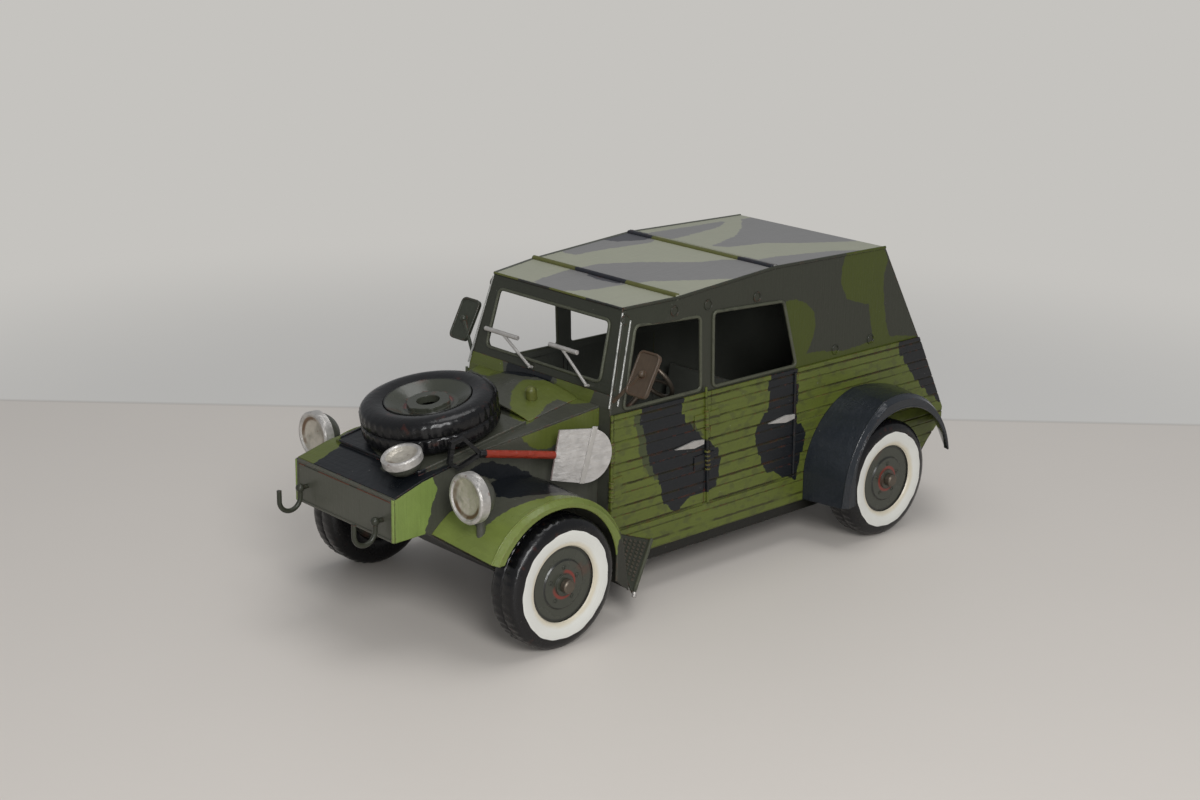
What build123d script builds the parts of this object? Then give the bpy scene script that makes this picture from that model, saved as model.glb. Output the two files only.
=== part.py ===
from build123d import *
import os
from math import atan2, cos, radians, sin

os.makedirs("parts", exist_ok=True)

# A hand-made tin model of an open-framed field car with a closed top, about 1:12.
# Millimetres. X points ahead, Y to the car's left, Z up, and the wheels stand at Z = 0.
# The origin is on the floor, midway between the tips of the tow hooks and the tail.

# Sheet metal and fits
sheet = 0.8
running_gap = 0.08
end_gap = 0.3
seat_gap = 0.05

# Wheels and axles
wheelbase = 200.0
tyre_radius = 27.4
tyre_width = 16.0
tyre_shoulder = 3.6
wheel_face = 68.1
rim_radius = 15.8
axle_radius = 2.2
collar_radius = 4.2
collar_length = 2.0
nut_radius = 2.9
nut_length = 2.8
hub_radius = 4.5
bearer_y = 24.0
bearer_thickness = 3.0
bearer_rise = 4.6

# Lengths along the car, from the front axle forwards or the cowl backwards
nose_reach = 57.7
cowl_back = 43.0
deck_front_back = 14.7
waist_back = 45.0
front_door_length = 57.5
rear_door_length = 57.0
windscreen_rake = 10.4
roof_front_bay = 26.7
roof_middle_bay = 59.6
tail_belt_reach = 43.8
tail_reach = 65.3
tail_roof_reach = 14.5

# Heights above the floor
pan_height = 14.8
sill_height = 19.6
door_bottom = 32.2
belt_height = 83.5
cowl_height = 86.4
screen_foot_height = 91.5
roof_front_height = 126.2
roof_first_height = 127.8
roof_rear_height = 131.1
roof_rear_fall = 1.2
tail_corner_height = 45.0
tail_bottom_height = 39.0
nose_top_height = 66.8
deck_front_height = 71.2
nose_bottom_height = 48.6

# Half widths
tub_half = 46.5
top_half = 45.6
roof_front_half = 40.7
nose_half = 32.4
waist_half = 30.5
cowl_half = 39.0
front_fender_half = 65.0
rear_fender_half = 70.0
fender_shoulder = 2.4

# Floor pan, its folded ends and its edge flanges
pan_rear = -44.0
pan_front_reach = -8.0
belly_reach = 41.0
flange_rise = 9.0

# Tow hooks on the nose plate
hook_wire = 1.0
hook_bend = 5.0
hook_boss = 1.8
hook_y = 25.2
hook_height = 56.6
hook_drop = 3.6
hook_stand_off = 3.5

# Places worked out from the sizes above, measured ahead of the rear axle
front_axle = wheelbase
nose = front_axle + nose_reach
cowl = front_axle - cowl_back
hook_tip = nose + hook_stand_off + 2 * hook_bend + hook_wire
middle = (hook_tip - tail_reach) / 2
deck_front = nose - deck_front_back
waist = nose - waist_back
roof_front = cowl - windscreen_rake
roof_first = roof_front - roof_front_bay
roof_second = roof_first - roof_middle_bay
door_seam = cowl - front_door_length
door_rear = door_seam - rear_door_length
pan_front = front_axle + pan_front_reach
belly_front = front_axle + belly_reach
pan_top = pan_height + sheet
axle_height = tyre_radius
tub_inner = tub_half - sheet
nose_back = nose - sheet


def side_plane(y=0.0):
    """A plane seen from the car's right, with its zero under the rear axle."""
    return Plane(origin=(-middle, y, 0), x_dir=(1, 0, 0), z_dir=(0, -1, 0))


def plan_plane(z=0.0):
    """A plane seen from above, with its zero under the rear axle."""
    return Plane(origin=(-middle, 0, z), x_dir=(1, 0, 0), z_dir=(0, 0, 1))


def folded_strip(points, thickness, side, y):
    """The edge view of a folded sheet, on a plane seen from the right."""
    with BuildSketch(side_plane(y)) as strip:
        with BuildLine():
            Polyline(*points)
            offset(amount=thickness, side=side)
        make_face()
    return strip.sketch


def rod(start, end, radius):
    """A straight round rod between two points."""
    with BuildPart() as bar:
        with BuildSketch(Plane(origin=start, z_dir=end - start)):
            Circle(radius)
        extrude(amount=(end - start).length)
    return bar.part


def mirrored(piece):
    """The same piece on the other side of the car."""
    with BuildPart() as other:
        mirror(piece, about=Plane.XZ)
    return other.part


def save(piece, name):
    piece.label = name
    export_step(piece, f"parts/{name}.step")


def save_pair(piece, name):
    """The left piece as made, and its mirror image on the right."""
    save(piece, name + "_left")
    save(mirrored(piece), name + "_right")


# Side outline of the cabin's closed top, from the belt up
belt_lap = 1.5
screen_slope = windscreen_rake / (roof_front_height - cowl_height)
tail_slope = (tail_belt_reach - tail_roof_reach) / (roof_rear_height - belt_height)
roof_second_height = roof_rear_height + roof_rear_fall
roof_line = [
    (roof_front, roof_front_height),
    (roof_first, roof_first_height),
    (roof_second, roof_second_height),
    (-tail_roof_reach, roof_rear_height),
]
cabin_foot = belt_height - belt_lap


def screen_x(height):
    """Where the windscreen's outer face is at a height."""
    return cowl - screen_slope * (height - cowl_height)


def tail_x(height):
    """Where the sloping back's outer face is at a height."""
    return -tail_belt_reach + tail_slope * (height - belt_height)


cabin_outline = [(screen_x(cabin_foot), cabin_foot)] + roof_line + [(tail_x(cabin_foot), cabin_foot)]


def cabin_form(inset):
    """The closed top as one block, with its two sides drawn in by inset."""
    with BuildPart() as form:
        with BuildSketch(side_plane()):
            Polygon(*cabin_outline, align=None)
        extrude(amount=top_half - inset, both=True)
        for facing in (1, -1):
            fold_top = Vector(roof_first - middle, facing * (top_half - inset), roof_first_height)
            corner = Vector(roof_front - middle, facing * (roof_front_half - inset), roof_front_height)
            fold_foot = Vector(cowl - middle, facing * (top_half - inset), belt_height)
            outward = (corner - fold_top).cross(fold_foot - fold_top) * facing
            split(bisect_by=Plane(origin=fold_top, z_dir=outward), keep=Keep.BOTTOM)
    return form.part


cabin_block = cabin_form(0)
cabin_core = cabin_form(sheet)

# Roof sheet with its two cross beads
bead_radius = 1.1
with BuildPart() as roof_panel:
    add(cabin_block)
    with BuildSketch(side_plane(top_half)):
        Polygon(*roof_line, *[(x, z - sheet) for x, z in reversed(roof_line)], align=None)
    extrude(amount=2 * top_half, mode=Mode.INTERSECT)
    with BuildSketch(side_plane()):
        with Locations(roof_line[1], roof_line[2]):
            Circle(bead_radius)
    extrude(amount=top_half, both=True)
save(roof_panel.part, "roof_panel")

# Bulkhead: upright behind the hood, leaning back above it as the windscreen's foot
bulkhead_line = [(cowl, pan_top), (cowl, cowl_height), (screen_x(screen_foot_height), screen_foot_height)]
with BuildPart() as cowl_strip:
    add(cabin_block)
    extrude(
        folded_strip(bulkhead_line, sheet, Side.LEFT, tub_half),
        amount=2 * tub_half,
        dir=(0, -1, 0),
        mode=Mode.INTERSECT,
    )
    split(bisect_by=Plane.XY.offset(belt_height), keep=Keep.TOP)
with BuildPart() as bulkhead:
    extrude(
        folded_strip(bulkhead_line, sheet, Side.LEFT, tub_inner),
        amount=2 * tub_inner,
        dir=(0, -1, 0),
    )
    split(bisect_by=Plane.XY.offset(belt_height), keep=Keep.BOTTOM)
    add(cowl_strip.part)
save(bulkhead.part, "bulkhead")

# Windscreen frame, a sloping sheet with a rounded opening
frame_thickness = 1.2
screen_half_top = 35.2
screen_half_foot = 36.6
screen_sill_height = 95.4
screen_head_height = 120.4
screen_corner = 3.0
frame_side = [
    (screen_x(screen_foot_height), screen_foot_height),
    (screen_x(roof_front_height), roof_front_height),
    (screen_x(roof_front_height) - frame_thickness, roof_front_height),
    (screen_x(screen_foot_height) - frame_thickness, screen_foot_height),
]
with BuildPart() as windscreen_frame:
    add(cabin_block)
    with BuildSketch(side_plane(top_half)):
        Polygon(*frame_side, align=None)
    extrude(amount=2 * top_half, mode=Mode.INTERSECT)
    with BuildSketch(Plane(origin=(cowl - middle, 0, 0), x_dir=(0, 1, 0), z_dir=(1, 0, 0))):
        Polygon(
            (screen_half_foot, screen_sill_height),
            (screen_half_top, screen_head_height),
            (-screen_half_top, screen_head_height),
            (-screen_half_foot, screen_sill_height),
            align=None,
        )
        fillet(vertices(), radius=screen_corner)
    extrude(amount=-cowl_back, mode=Mode.SUBTRACT)
    add(roof_panel.part, mode=Mode.SUBTRACT)
save(windscreen_frame.part, "windscreen_frame")

# Sloping back of the top, with its small window
rear_window_half = 13.0
back_height = roof_rear_height - belt_height
rear_window_low = belt_height + back_height * 0.389
rear_window_high = belt_height + back_height * 0.725
tail_line = [(tail_x(roof_rear_height), roof_rear_height), (tail_x(cabin_foot), cabin_foot)]
with BuildPart() as top_rear:
    add(cabin_block)
    extrude(
        folded_strip(tail_line, sheet, Side.LEFT, top_half),
        amount=2 * top_half,
        dir=(0, -1, 0),
        mode=Mode.INTERSECT,
    )
    with BuildSketch(Plane.YZ.offset(-middle - tail_reach)):
        with Locations((0, (rear_window_low + rear_window_high) / 2)):
            RectangleRounded(2 * rear_window_half, rear_window_high - rear_window_low, screen_corner)
    extrude(amount=tail_reach, mode=Mode.SUBTRACT)
    add(roof_panel.part, mode=Mode.SUBTRACT)
save(top_rear.part, "top_rear")

# Sides of the top, each with its two side windows, tucked inside the tub at the belt
window_sill = belt_height + 1.5
front_window_head = roof_front_height - 7.5
rear_window_head = roof_rear_height - 12.9
head_fall = 1.1
rear_head_fall = 2.1
front_window = [
    (-15.4, front_window_head),
    (-50.8, front_window_head - head_fall),
    (-52.5, window_sill),
    (-7.0, window_sill),
]
rear_window = [
    (-58.7, rear_window_head),
    (-102.9, rear_window_head - rear_head_fall),
    (-113.3, window_sill),
    (-59.9, window_sill),
]
window_corner = 2.6
with BuildPart() as top_side:
    add(cabin_block)
    add(cabin_core, mode=Mode.SUBTRACT)
    for opening in (front_window, rear_window):
        with BuildSketch(side_plane()):
            Polygon(*[(cowl + x, z) for x, z in opening], align=None)
            fillet(vertices(), radius=window_corner)
        extrude(amount=2 * top_half, both=True, mode=Mode.SUBTRACT)
    for neighbour in (roof_panel, windscreen_frame, top_rear, bulkhead):
        add(neighbour.part, mode=Mode.SUBTRACT)
    with BuildSketch(side_plane()):
        Polygon(
            (cowl, cabin_foot),
            (cowl, cowl_height),
            (nose, cowl_height),
            (nose, cabin_foot),
            align=None,
        )
    extrude(amount=2 * top_half, both=True, mode=Mode.SUBTRACT)
    split(bisect_by=Plane.XZ, keep=Keep.BOTTOM)
save_pair(top_side.part, "top_side")

# Pressed grooves along the tub, in pairs of a deep and a shallow one
groove_top = 81.2
groove_pitch = 9.6
groove_pairs = 6
groove_step = 3.8
deep_groove = 0.62
shallow_groove = 0.38
groove_rows = [
    (groove_top - groove_pitch * row - drop, size)
    for row in range(groove_pairs)
    for drop, size in ((0.0, deep_groove), (groove_step, shallow_groove))
]


def side_grooves():
    """The grooves as square bars laid edge-on in the tub's left face."""
    with BuildPart() as bars:
        for height, size in groove_rows:
            with BuildSketch(Plane.YZ.offset(-middle - tail_reach)):
                with Locations((tub_half, height)):
                    Rectangle(size, size, rotation=45)
            extrude(amount=tail_reach + cowl)
    return bars.part


grooves = side_grooves()

# Tub sides: sill, door posts and rear quarter round the two door openings
post_width = 2.4
front_post = 1.4
door_gap = 0.25
axle_hole_gap = 0.3
quarter_outline = [
    (cowl, belt_height),
    (-tail_belt_reach, belt_height),
    (-tail_reach, tail_corner_height),
    (-tail_reach, tail_bottom_height),
    (pan_rear, sill_height),
    (cowl, sill_height),
]
door_openings = [
    (door_seam + post_width / 2, cowl - front_post),
    (door_rear, door_seam - post_width / 2),
]
with BuildPart() as body_side:
    with BuildSketch(side_plane(tub_half)):
        Polygon(*quarter_outline, align=None)
        for back, front in door_openings:
            Polygon(
                (back, door_bottom),
                (back, belt_height),
                (front, belt_height),
                (front, door_bottom),
                align=None,
                mode=Mode.SUBTRACT,
            )
        with Locations((0, axle_height)):
            Circle(axle_radius + axle_hole_gap, mode=Mode.SUBTRACT)
    extrude(amount=sheet)
    add(grooves, mode=Mode.SUBTRACT)
save_pair(body_side.part, "body_side")

# Doors, one flat pressed sheet each, with the same grooves running through
for name, (back, front) in zip(("door_front", "door_rear"), door_openings):
    with BuildPart() as door:
        with BuildSketch(side_plane(tub_half)):
            Polygon(
                (back + door_gap, door_bottom + door_gap),
                (back + door_gap, belt_height),
                (front - door_gap, belt_height),
                (front - door_gap, door_bottom + door_gap),
                align=None,
            )
        extrude(amount=sheet)
        add(grooves, mode=Mode.SUBTRACT)
    save_pair(door.part, name)

# Door handles, flat tapered levers pivoted at their rear ends
handle_height = 61.5
handle_length = 17.5
handle_width = 3.4
handle_thickness = 0.9
handle_inset = 1.9
with BuildPart() as handle_plates:
    for back, front in door_openings:
        with BuildSketch(side_plane(tub_half)):
            Polygon(
                (back + handle_inset, handle_height - handle_width / 4),
                (back + handle_inset, handle_height + handle_width / 3),
                (back + handle_inset + handle_length / 3, handle_height + handle_width / 2),
                (back + handle_inset + handle_length, handle_height),
                (back + handle_inset + handle_length / 3, handle_height - handle_width / 2),
                align=None,
            )
        extrude(amount=-handle_thickness)
    mirror(about=Plane.XZ)
save(handle_plates.part, "door_handles")

# Tail panel, sloping on from the top's back
tail_panel_line = [
    (-tail_belt_reach, belt_height),
    (-tail_reach, tail_corner_height),
    (-tail_reach, tail_bottom_height),
]
with BuildPart() as rear_panel:
    extrude(
        folded_strip(tail_panel_line, sheet, Side.LEFT, tub_inner),
        amount=2 * tub_inner,
        dir=(0, -1, 0),
    )
    for neighbour in (top_rear.part, top_side.part, mirrored(top_side.part)):
        add(neighbour, mode=Mode.SUBTRACT)
save(rear_panel.part, "rear_panel")

# Floor pan: flat between the wheels, folded up to the tail and under the nose
pan_line = [
    (-tail_reach + sheet, tail_bottom_height),
    (pan_rear, pan_height),
    (pan_front, pan_height),
    (belly_front, nose_bottom_height),
    (nose_back, nose_bottom_height),
]


def hood_outline(inset):
    """The hood's plan, waisted between the lamps and drawn in by inset."""
    points = [(nose_back, nose_half - inset), (waist, waist_half - inset), (cowl, cowl_half - inset)]
    return points + [(x, -y) for x, y in reversed(points)]


with BuildPart() as floor_pan:
    with BuildSketch(plan_plane()):
        Polygon(*hood_outline(sheet), align=None)
        Polygon(
            (cowl, tub_inner),
            (cowl, -tub_inner),
            (-tail_reach, -tub_inner),
            (-tail_reach, tub_inner),
            align=None,
        )
    extrude(amount=belt_height)
    extrude(
        folded_strip(pan_line, sheet, Side.LEFT, tub_half),
        amount=2 * tub_half,
        dir=(0, -1, 0),
        mode=Mode.INTERSECT,
    )
    for facing in (1, -1):
        with BuildSketch(Plane.XY.offset(pan_height)):
            with Locations(((pan_rear + cowl) / 2 - middle, facing * (tub_inner - sheet / 2))):
                Rectangle(cowl - pan_rear, sheet)
        extrude(amount=flange_rise)
        for axle in (0, front_axle):
            with BuildSketch(side_plane(facing * bearer_y + bearer_thickness / 2)):
                with Locations((axle, axle_height)):
                    Circle(axle_radius + bearer_rise)
                with Locations((axle, (axle_height + pan_height) / 2)):
                    Rectangle(2 * (axle_radius + bearer_rise), axle_height - pan_height)
                Polygon(*pan_line, (nose_back, 0), (-tail_reach, 0), align=None, mode=Mode.SUBTRACT)
                with Locations((axle, axle_height)):
                    Circle(axle_radius + seat_gap, mode=Mode.SUBTRACT)
            extrude(amount=bearer_thickness)
    add(bulkhead.part, mode=Mode.SUBTRACT)
    add(rear_panel.part, mode=Mode.SUBTRACT)
save(floor_pan.part, "floor_pan")

# Hood deck: a steep nose and a long flat deck folded from one sheet, with a raised panel on it
deck_line = [(nose, nose_top_height), (deck_front, deck_front_height), (cowl, cowl_height)]
deck_slope = atan2(cowl_height - deck_front_height, deck_front - cowl)
raised_half = 27.4
raised_height = 1.2
raised_front_back = 1.0
raised_length = 56.0


def deck_plane(ahead, lift=0.0):
    """A plane on the deck, its X pointing down the slope to the nose and its Z square off the deck."""
    z = cowl_height - (ahead - cowl) * sin(deck_slope) / cos(deck_slope)
    up = Vector(sin(deck_slope), 0, cos(deck_slope))
    forward = Vector(cos(deck_slope), 0, -sin(deck_slope))
    return Plane(origin=Vector(ahead - middle, 0, z) + up * lift, x_dir=forward, z_dir=up)


with BuildPart() as hood_top:
    with BuildSketch(plan_plane()):
        Polygon(*hood_outline(0), align=None)
    extrude(amount=roof_front_height)
    with BuildSketch(side_plane(tub_half)):
        Polygon(*deck_line, *[(x, z - sheet) for x, z in reversed(deck_line)], align=None)
    extrude(amount=2 * tub_half, mode=Mode.INTERSECT)
    with BuildSketch(deck_plane(deck_front - raised_front_back - raised_length / 2)):
        Rectangle(raised_length, 2 * raised_half)
    extrude(amount=raised_height)
save(hood_top.part, "hood_top")

# Hood sides, folded down to the floor pan, with holes for the front axle
nose_rise = (deck_front_height - nose_top_height) / deck_front_back
hood_side_view = [
    (nose_back, nose_bottom_height),
    (nose_back, nose_top_height + sheet * nose_rise - sheet / 2),
    (deck_front, deck_front_height - sheet / 2),
    (cowl, cowl_height - sheet / 2),
    (cowl, pan_height),
    (pan_front, pan_height),
    (belly_front, nose_bottom_height),
]
with BuildPart() as hood_side:
    with BuildSketch(plan_plane()):
        Polygon(*hood_outline(0), align=None)
        Polygon(*hood_outline(sheet), align=None, mode=Mode.SUBTRACT)
    extrude(amount=roof_front_height)
    with BuildSketch(side_plane(tub_half)):
        Polygon(*hood_side_view, align=None)
        with Locations((front_axle, axle_height)):
            Circle(axle_radius + axle_hole_gap, mode=Mode.SUBTRACT)
    extrude(amount=2 * tub_half, mode=Mode.INTERSECT)
    add(hood_top.part, mode=Mode.SUBTRACT)
    split(bisect_by=Plane.XZ, keep=Keep.BOTTOM)
save_pair(hood_side.part, "hood_side")

# Nose plate across the front
with BuildPart() as nose_plate:
    with BuildSketch(Plane.YZ.offset(nose_back - middle)):
        with Locations((0, (nose_top_height + nose_bottom_height) / 2)):
            Rectangle(2 * nose_half, nose_top_height - nose_bottom_height)
    extrude(amount=sheet)
save(nose_plate.part, "nose_plate")

# Arched cover over the tank, behind the spare wheel, with its filler cap
bulge_half = 26.0
bulge_rise = 3.8
bulge_length = 27.2
deck_across = Plane(origin=deck_plane(cowl).origin, x_dir=(0, 1, 0), z_dir=deck_plane(cowl).x_dir)
with BuildPart() as tank_cover:
    with BuildSketch(deck_across):
        for shrink, mode in ((0.0, Mode.ADD), (sheet, Mode.SUBTRACT)):
            with BuildLine():
                ThreePointArc((shrink - bulge_half, 0), (0, bulge_rise - shrink), (bulge_half - shrink, 0))
                Line((bulge_half - shrink, 0), (shrink - bulge_half, 0))
            make_face(mode=mode)
    extrude(amount=bulge_length)
save(tank_cover.part, "tank_cover")

cap_radius = 2.4
cap_height = 4.2
cap_ahead = 14.4
cap_y = 13.8
with BuildPart() as fuel_cap:
    with BuildSketch(deck_plane(cowl + cap_ahead)):
        with Locations((0, cap_y)):
            Circle(cap_radius)
    extrude(amount=bulge_rise + cap_height)
    fillet(fuel_cap.edges().sort_by(Axis.Z)[-1], radius=cap_radius * 0.8)
    with BuildSketch(deck_across):
        with BuildLine():
            ThreePointArc((-bulge_half, 0), (0, bulge_rise), (bulge_half, 0))
            Line((bulge_half, 0), (-bulge_half, 0))
        make_face()
    extrude(amount=bulge_length, mode=Mode.SUBTRACT)
save(fuel_cap.part, "fuel_cap")


# Fenders: an arched sheet from the body out to a shoulder, and a flange down from the shoulder.
# Each edge is given as angles about the axle and radii as shares of the tyre's:
# foot, start of arch, mid arch, crown, shoulder and tip
def arched_edge(axle, rows, depth=0.0):
    """The six points of an arched edge, drawn in by depth."""
    return [
        (
            axle + (share * tyre_radius - depth) * cos(radians(angle)),
            axle_height + (share * tyre_radius - depth) * sin(radians(angle)),
        )
        for angle, share in rows
    ]


def arch_face(y, upper, lower):
    """The face between two arched edges at one distance from the car's middle."""
    with BuildSketch(side_plane(y)) as face:
        with BuildLine():
            for foot, start, haunch, crown, shoulder, tip in (upper, lower):
                Line(foot, start)
                ThreePointArc(start, haunch, crown)
                ThreePointArc(crown, shoulder, tip)
            Line(upper[0], lower[0])
            Line(upper[-1], lower[-1])
        make_face()
    return face.sketch.faces()[0]


def fender(axle, half, inner_y, inner_edge, shoulder_edge, outer_edge, arch_edge):
    """A left fender: its sheet in two ruled bands, then the flat flange round the wheel arch."""
    with BuildPart() as shell:
        loft(
            [
                arch_face(y, arched_edge(axle, rows), arched_edge(axle, rows, sheet))
                for y, rows in (
                    (half, outer_edge),
                    (half - fender_shoulder, shoulder_edge),
                    (inner_y, inner_edge),
                )
            ],
            ruled=True,
        )
        extrude(
            arch_face(half, arched_edge(axle, outer_edge), arched_edge(axle, arch_edge)),
            amount=sheet,
            dir=(0, -1, 0),
        )
    return shell.part


front_inner_edge = [(197, 1.46), (170, 1.315), (125, 1.315), (80, 1.315), (51, 1.41), (28, 1.61)]
front_shoulder_edge = [(199, 1.51), (166, 1.335), (125, 1.265), (83, 1.26), (50, 1.33), (24.5, 1.36)]
front_outer_edge = [(199, 1.44), (166, 1.26), (125, 1.2), (83, 1.205), (50, 1.265), (25, 1.295)]
front_arch_edge = [(193, 1.13), (172, 1.117), (125, 1.125), (83, 1.145), (49, 1.185), (27, 1.2)]
with BuildPart() as front_fender:
    add(
        fender(
            front_axle,
            front_fender_half,
            waist_half - sheet,
            front_inner_edge,
            front_shoulder_edge,
            front_outer_edge,
            front_arch_edge,
        )
    )
    with BuildSketch(plan_plane()):
        Polygon(*hood_outline(0), align=None)
    extrude(amount=roof_front_height, mode=Mode.SUBTRACT)
save_pair(front_fender.part, "front_fender")

rear_inner_edge = [(-12, 1.315), (10, 1.32), (45, 1.385), (85, 1.47), (135, 1.7), (169, 2.26)]
rear_shoulder_edge = [(-13, 1.2), (9, 1.13), (45, 1.19), (80, 1.42), (115, 1.5), (171, 1.56)]
rear_outer_edge = [(-13, 1.14), (9, 1.075), (45, 1.145), (80, 1.36), (115, 1.44), (171, 1.53)]
rear_arch_edge = [(-14, 0.97), (12, 0.985), (46, 1.105), (80, 1.195), (118, 1.32), (168, 1.5)]
save_pair(
    fender(
        0,
        rear_fender_half,
        tub_half,
        rear_inner_edge,
        rear_shoulder_edge,
        rear_outer_edge,
        rear_arch_edge,
    ),
    "rear_fender",
)

# Step plates between the sill and the front fenders
step_inset = 1.0
# ahead of the cowl, out from the middle, height
step_rows = [
    (-24.6, tub_half, 24.0),
    (3.0, tub_half, 34.5),
    (1.8, front_fender_half - step_inset, 11.5),
]
step_corners = [Vector(cowl + ahead - middle, out, height) for ahead, out, height in step_rows]
step_plane = Plane(
    origin=step_corners[0],
    x_dir=step_corners[1] - step_corners[0],
    z_dir=(step_corners[2] - step_corners[0]).cross(step_corners[1] - step_corners[0]),
)
step_outline = [step_plane.to_local_coords(corner) for corner in step_corners]
with BuildPart() as step_plates:
    with BuildSketch(step_plane):
        Polygon(*[(corner.X, corner.Y) for corner in step_outline], align=None)
    extrude(amount=sheet)
    split(bisect_by=Plane.XZ.offset(-tub_half), keep=Keep.BOTTOM)
    add(front_fender.part, mode=Mode.SUBTRACT)
    mirror(about=Plane.XZ)
save(step_plates.part, "step_plates")

# Lamps: a rounded bowl with a deep rim and a dished face, turned about the lamp's own axis
lamp_radius = 10.2
lamp_face_ahead = 37.4
lamp_y = 50.8
lamp_height = 67.3
lamp_depth = 13.0
lamp_rim = 4.4
lens_depth = 1.8
rim_width = 2.0
rim_round = 0.6
bowl_step = 0.8


def lamp(plane, radius, depth, rim, fullness):
    """A lamp facing along the plane's Z, its rim's front edge on the plane. Fullness is the bowl's width low down."""
    outward = plane.x_dir
    with BuildPart() as bowl:
        with BuildSketch(Plane(origin=plane.origin, x_dir=outward, z_dir=-plane.y_dir)):
            with BuildLine():
                Polyline(
                    (0, -depth),
                    (0, -lens_depth),
                    (radius * 0.5, -lens_depth * 0.8),
                    (radius - rim_width, -rim_round),
                    (radius - rim_width + rim_round, 0),
                    (radius - rim_round, 0),
                    (radius, -rim_round),
                    (radius, -rim),
                    (radius - bowl_step, -rim),
                )
                ThreePointArc((radius - bowl_step, -rim), (radius * fullness, -depth * 0.72), (0, -depth))
            make_face()
        revolve(axis=Axis(plane.origin, plane.z_dir))
    return bowl.part


foot_radius = 1.8
foot_back = 8.0
lamp_fullness = 0.66
lamp_centre = Vector(front_axle + lamp_face_ahead - middle, lamp_y, lamp_height)
lamp_face = Plane(origin=lamp_centre, x_dir=(0, 1, 0), z_dir=(1, 0, 0))
with BuildPart() as headlamps:
    add(lamp(lamp_face, lamp_radius, lamp_depth, lamp_rim, lamp_fullness))
    with BuildSketch(plan_plane(lamp_height)):
        with Locations((front_axle + lamp_face_ahead - foot_back, lamp_y)):
            Circle(foot_radius)
    extrude(until=Until.NEXT, target=front_fender.part, dir=(0, 0, -1))
    mirror(about=Plane.XZ)
save(headlamps.part, "headlamps")

# Small lamp on the nose, tipped up
spot_ahead = 42.6
spot_y = 21.1
spot_radius = 8.3
spot_depth = 8.4
spot_fullness = 0.8
spot_rim = 3.4
spot_lift = 9.0
spot_tilt = radians(72.0)
spot_foot_radius = 1.3
spot_aim = Vector(cos(spot_tilt), 0, sin(spot_tilt))
spot_base = deck_plane(front_axle + spot_ahead).origin + Vector(0, spot_y, 0)
spot_base_above = Vector(0, 0, max(nose_top_height, deck_front_height) - deck_front_height)
spot_face = Plane(
    origin=spot_base + spot_base_above + spot_aim * spot_lift,
    x_dir=(0, 1, 0),
    z_dir=spot_aim,
)
with BuildPart() as spot_lamp:
    add(lamp(spot_face, spot_radius, spot_depth, spot_rim, spot_fullness))
    add(rod(spot_base, spot_face.origin - spot_aim * (spot_depth - lens_depth), spot_foot_radius))
    add(hood_top.part, mode=Mode.SUBTRACT)
save(spot_lamp.part, "spot_lamp")

# Tow hooks: a boss on the nose plate and an open hook of thick wire
with BuildPart() as tow_hooks:
    shank = nose + hook_stand_off
    bend_height = hook_height - hook_drop
    with BuildSketch(Plane.YZ.offset(nose - middle)):
        with Locations((hook_y, hook_height)):
            Circle(hook_wire)
    extrude(amount=hook_stand_off)
    with Locations((shank - middle, hook_y, hook_height)):
        Sphere(hook_boss)
    with BuildLine(side_plane(hook_y)) as hook_line:
        Line((shank, hook_height), (shank, bend_height))
        ThreePointArc(
            (shank, bend_height),
            (shank + hook_bend, bend_height - hook_bend),
            (shank + 2 * hook_bend, bend_height),
        )
        Line((shank + 2 * hook_bend, bend_height), (shank + 2 * hook_bend, hook_height + hook_wire))
    with BuildSketch(Plane(origin=hook_line.line @ 0, z_dir=hook_line.line % 0)):
        Circle(hook_wire)
    sweep(path=hook_line.line)
    mirror(about=Plane.XZ)
save(tow_hooks.part, "tow_hooks")

# Mirrors: a plate leaning back on a bent rod from the windscreen's foot
mirror_width = 12.0
mirror_height = 19.0
mirror_thickness = 1.4
mirror_lean = 27.0
mirror_corner = 2.4
mirror_back = 8.0
mirror_stand_out = 11.4
mirror_rise = 10.5
mirror_ball = 1.6
ball_sink = 1.0
arm_radius = 0.8
arm_back = 2.0
arm_rise = 5.5
mirror_centre = Vector(
    cowl - mirror_back - middle,
    top_half + mirror_stand_out,
    screen_foot_height + mirror_rise,
)
mirror_out = Vector(cos(radians(mirror_lean)), 0, sin(radians(mirror_lean)))
ball_centre = mirror_centre + mirror_out * (mirror_thickness + mirror_ball - ball_sink)
arm_foot = Vector(cowl - arm_back - middle, top_half - sheet + end_gap / 2, belt_height + arm_rise)
with BuildPart() as mirrors:
    with BuildSketch(Plane(origin=mirror_centre, x_dir=(0, 1, 0), z_dir=mirror_out)):
        RectangleRounded(mirror_width, mirror_height, mirror_corner)
    extrude(amount=mirror_thickness)
    with Locations(ball_centre):
        Sphere(mirror_ball)
    add(rod(ball_centre, arm_foot, arm_radius))
    add(top_side.part, mode=Mode.SUBTRACT)
    add(cabin_core, mode=Mode.SUBTRACT)
    add(bulkhead.part, mode=Mode.SUBTRACT)
    mirror(about=Plane.XZ)
save(mirrors.part, "mirrors")

# Wipers: a rod up from the windscreen's foot with a cross blade, for each half of the screen
wiper_gap = 1.4
wiper_radius = 0.65
blade_radius = 1.0
screen_rake_angle = atan2(windscreen_rake, roof_front_height - cowl_height)
screen_out = Vector(cos(screen_rake_angle), 0, sin(screen_rake_angle))


def on_screen(y, height, gap):
    """A point in front of the windscreen's plane."""
    return Vector(screen_x(height) - middle, y, height) + screen_out * gap


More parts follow.
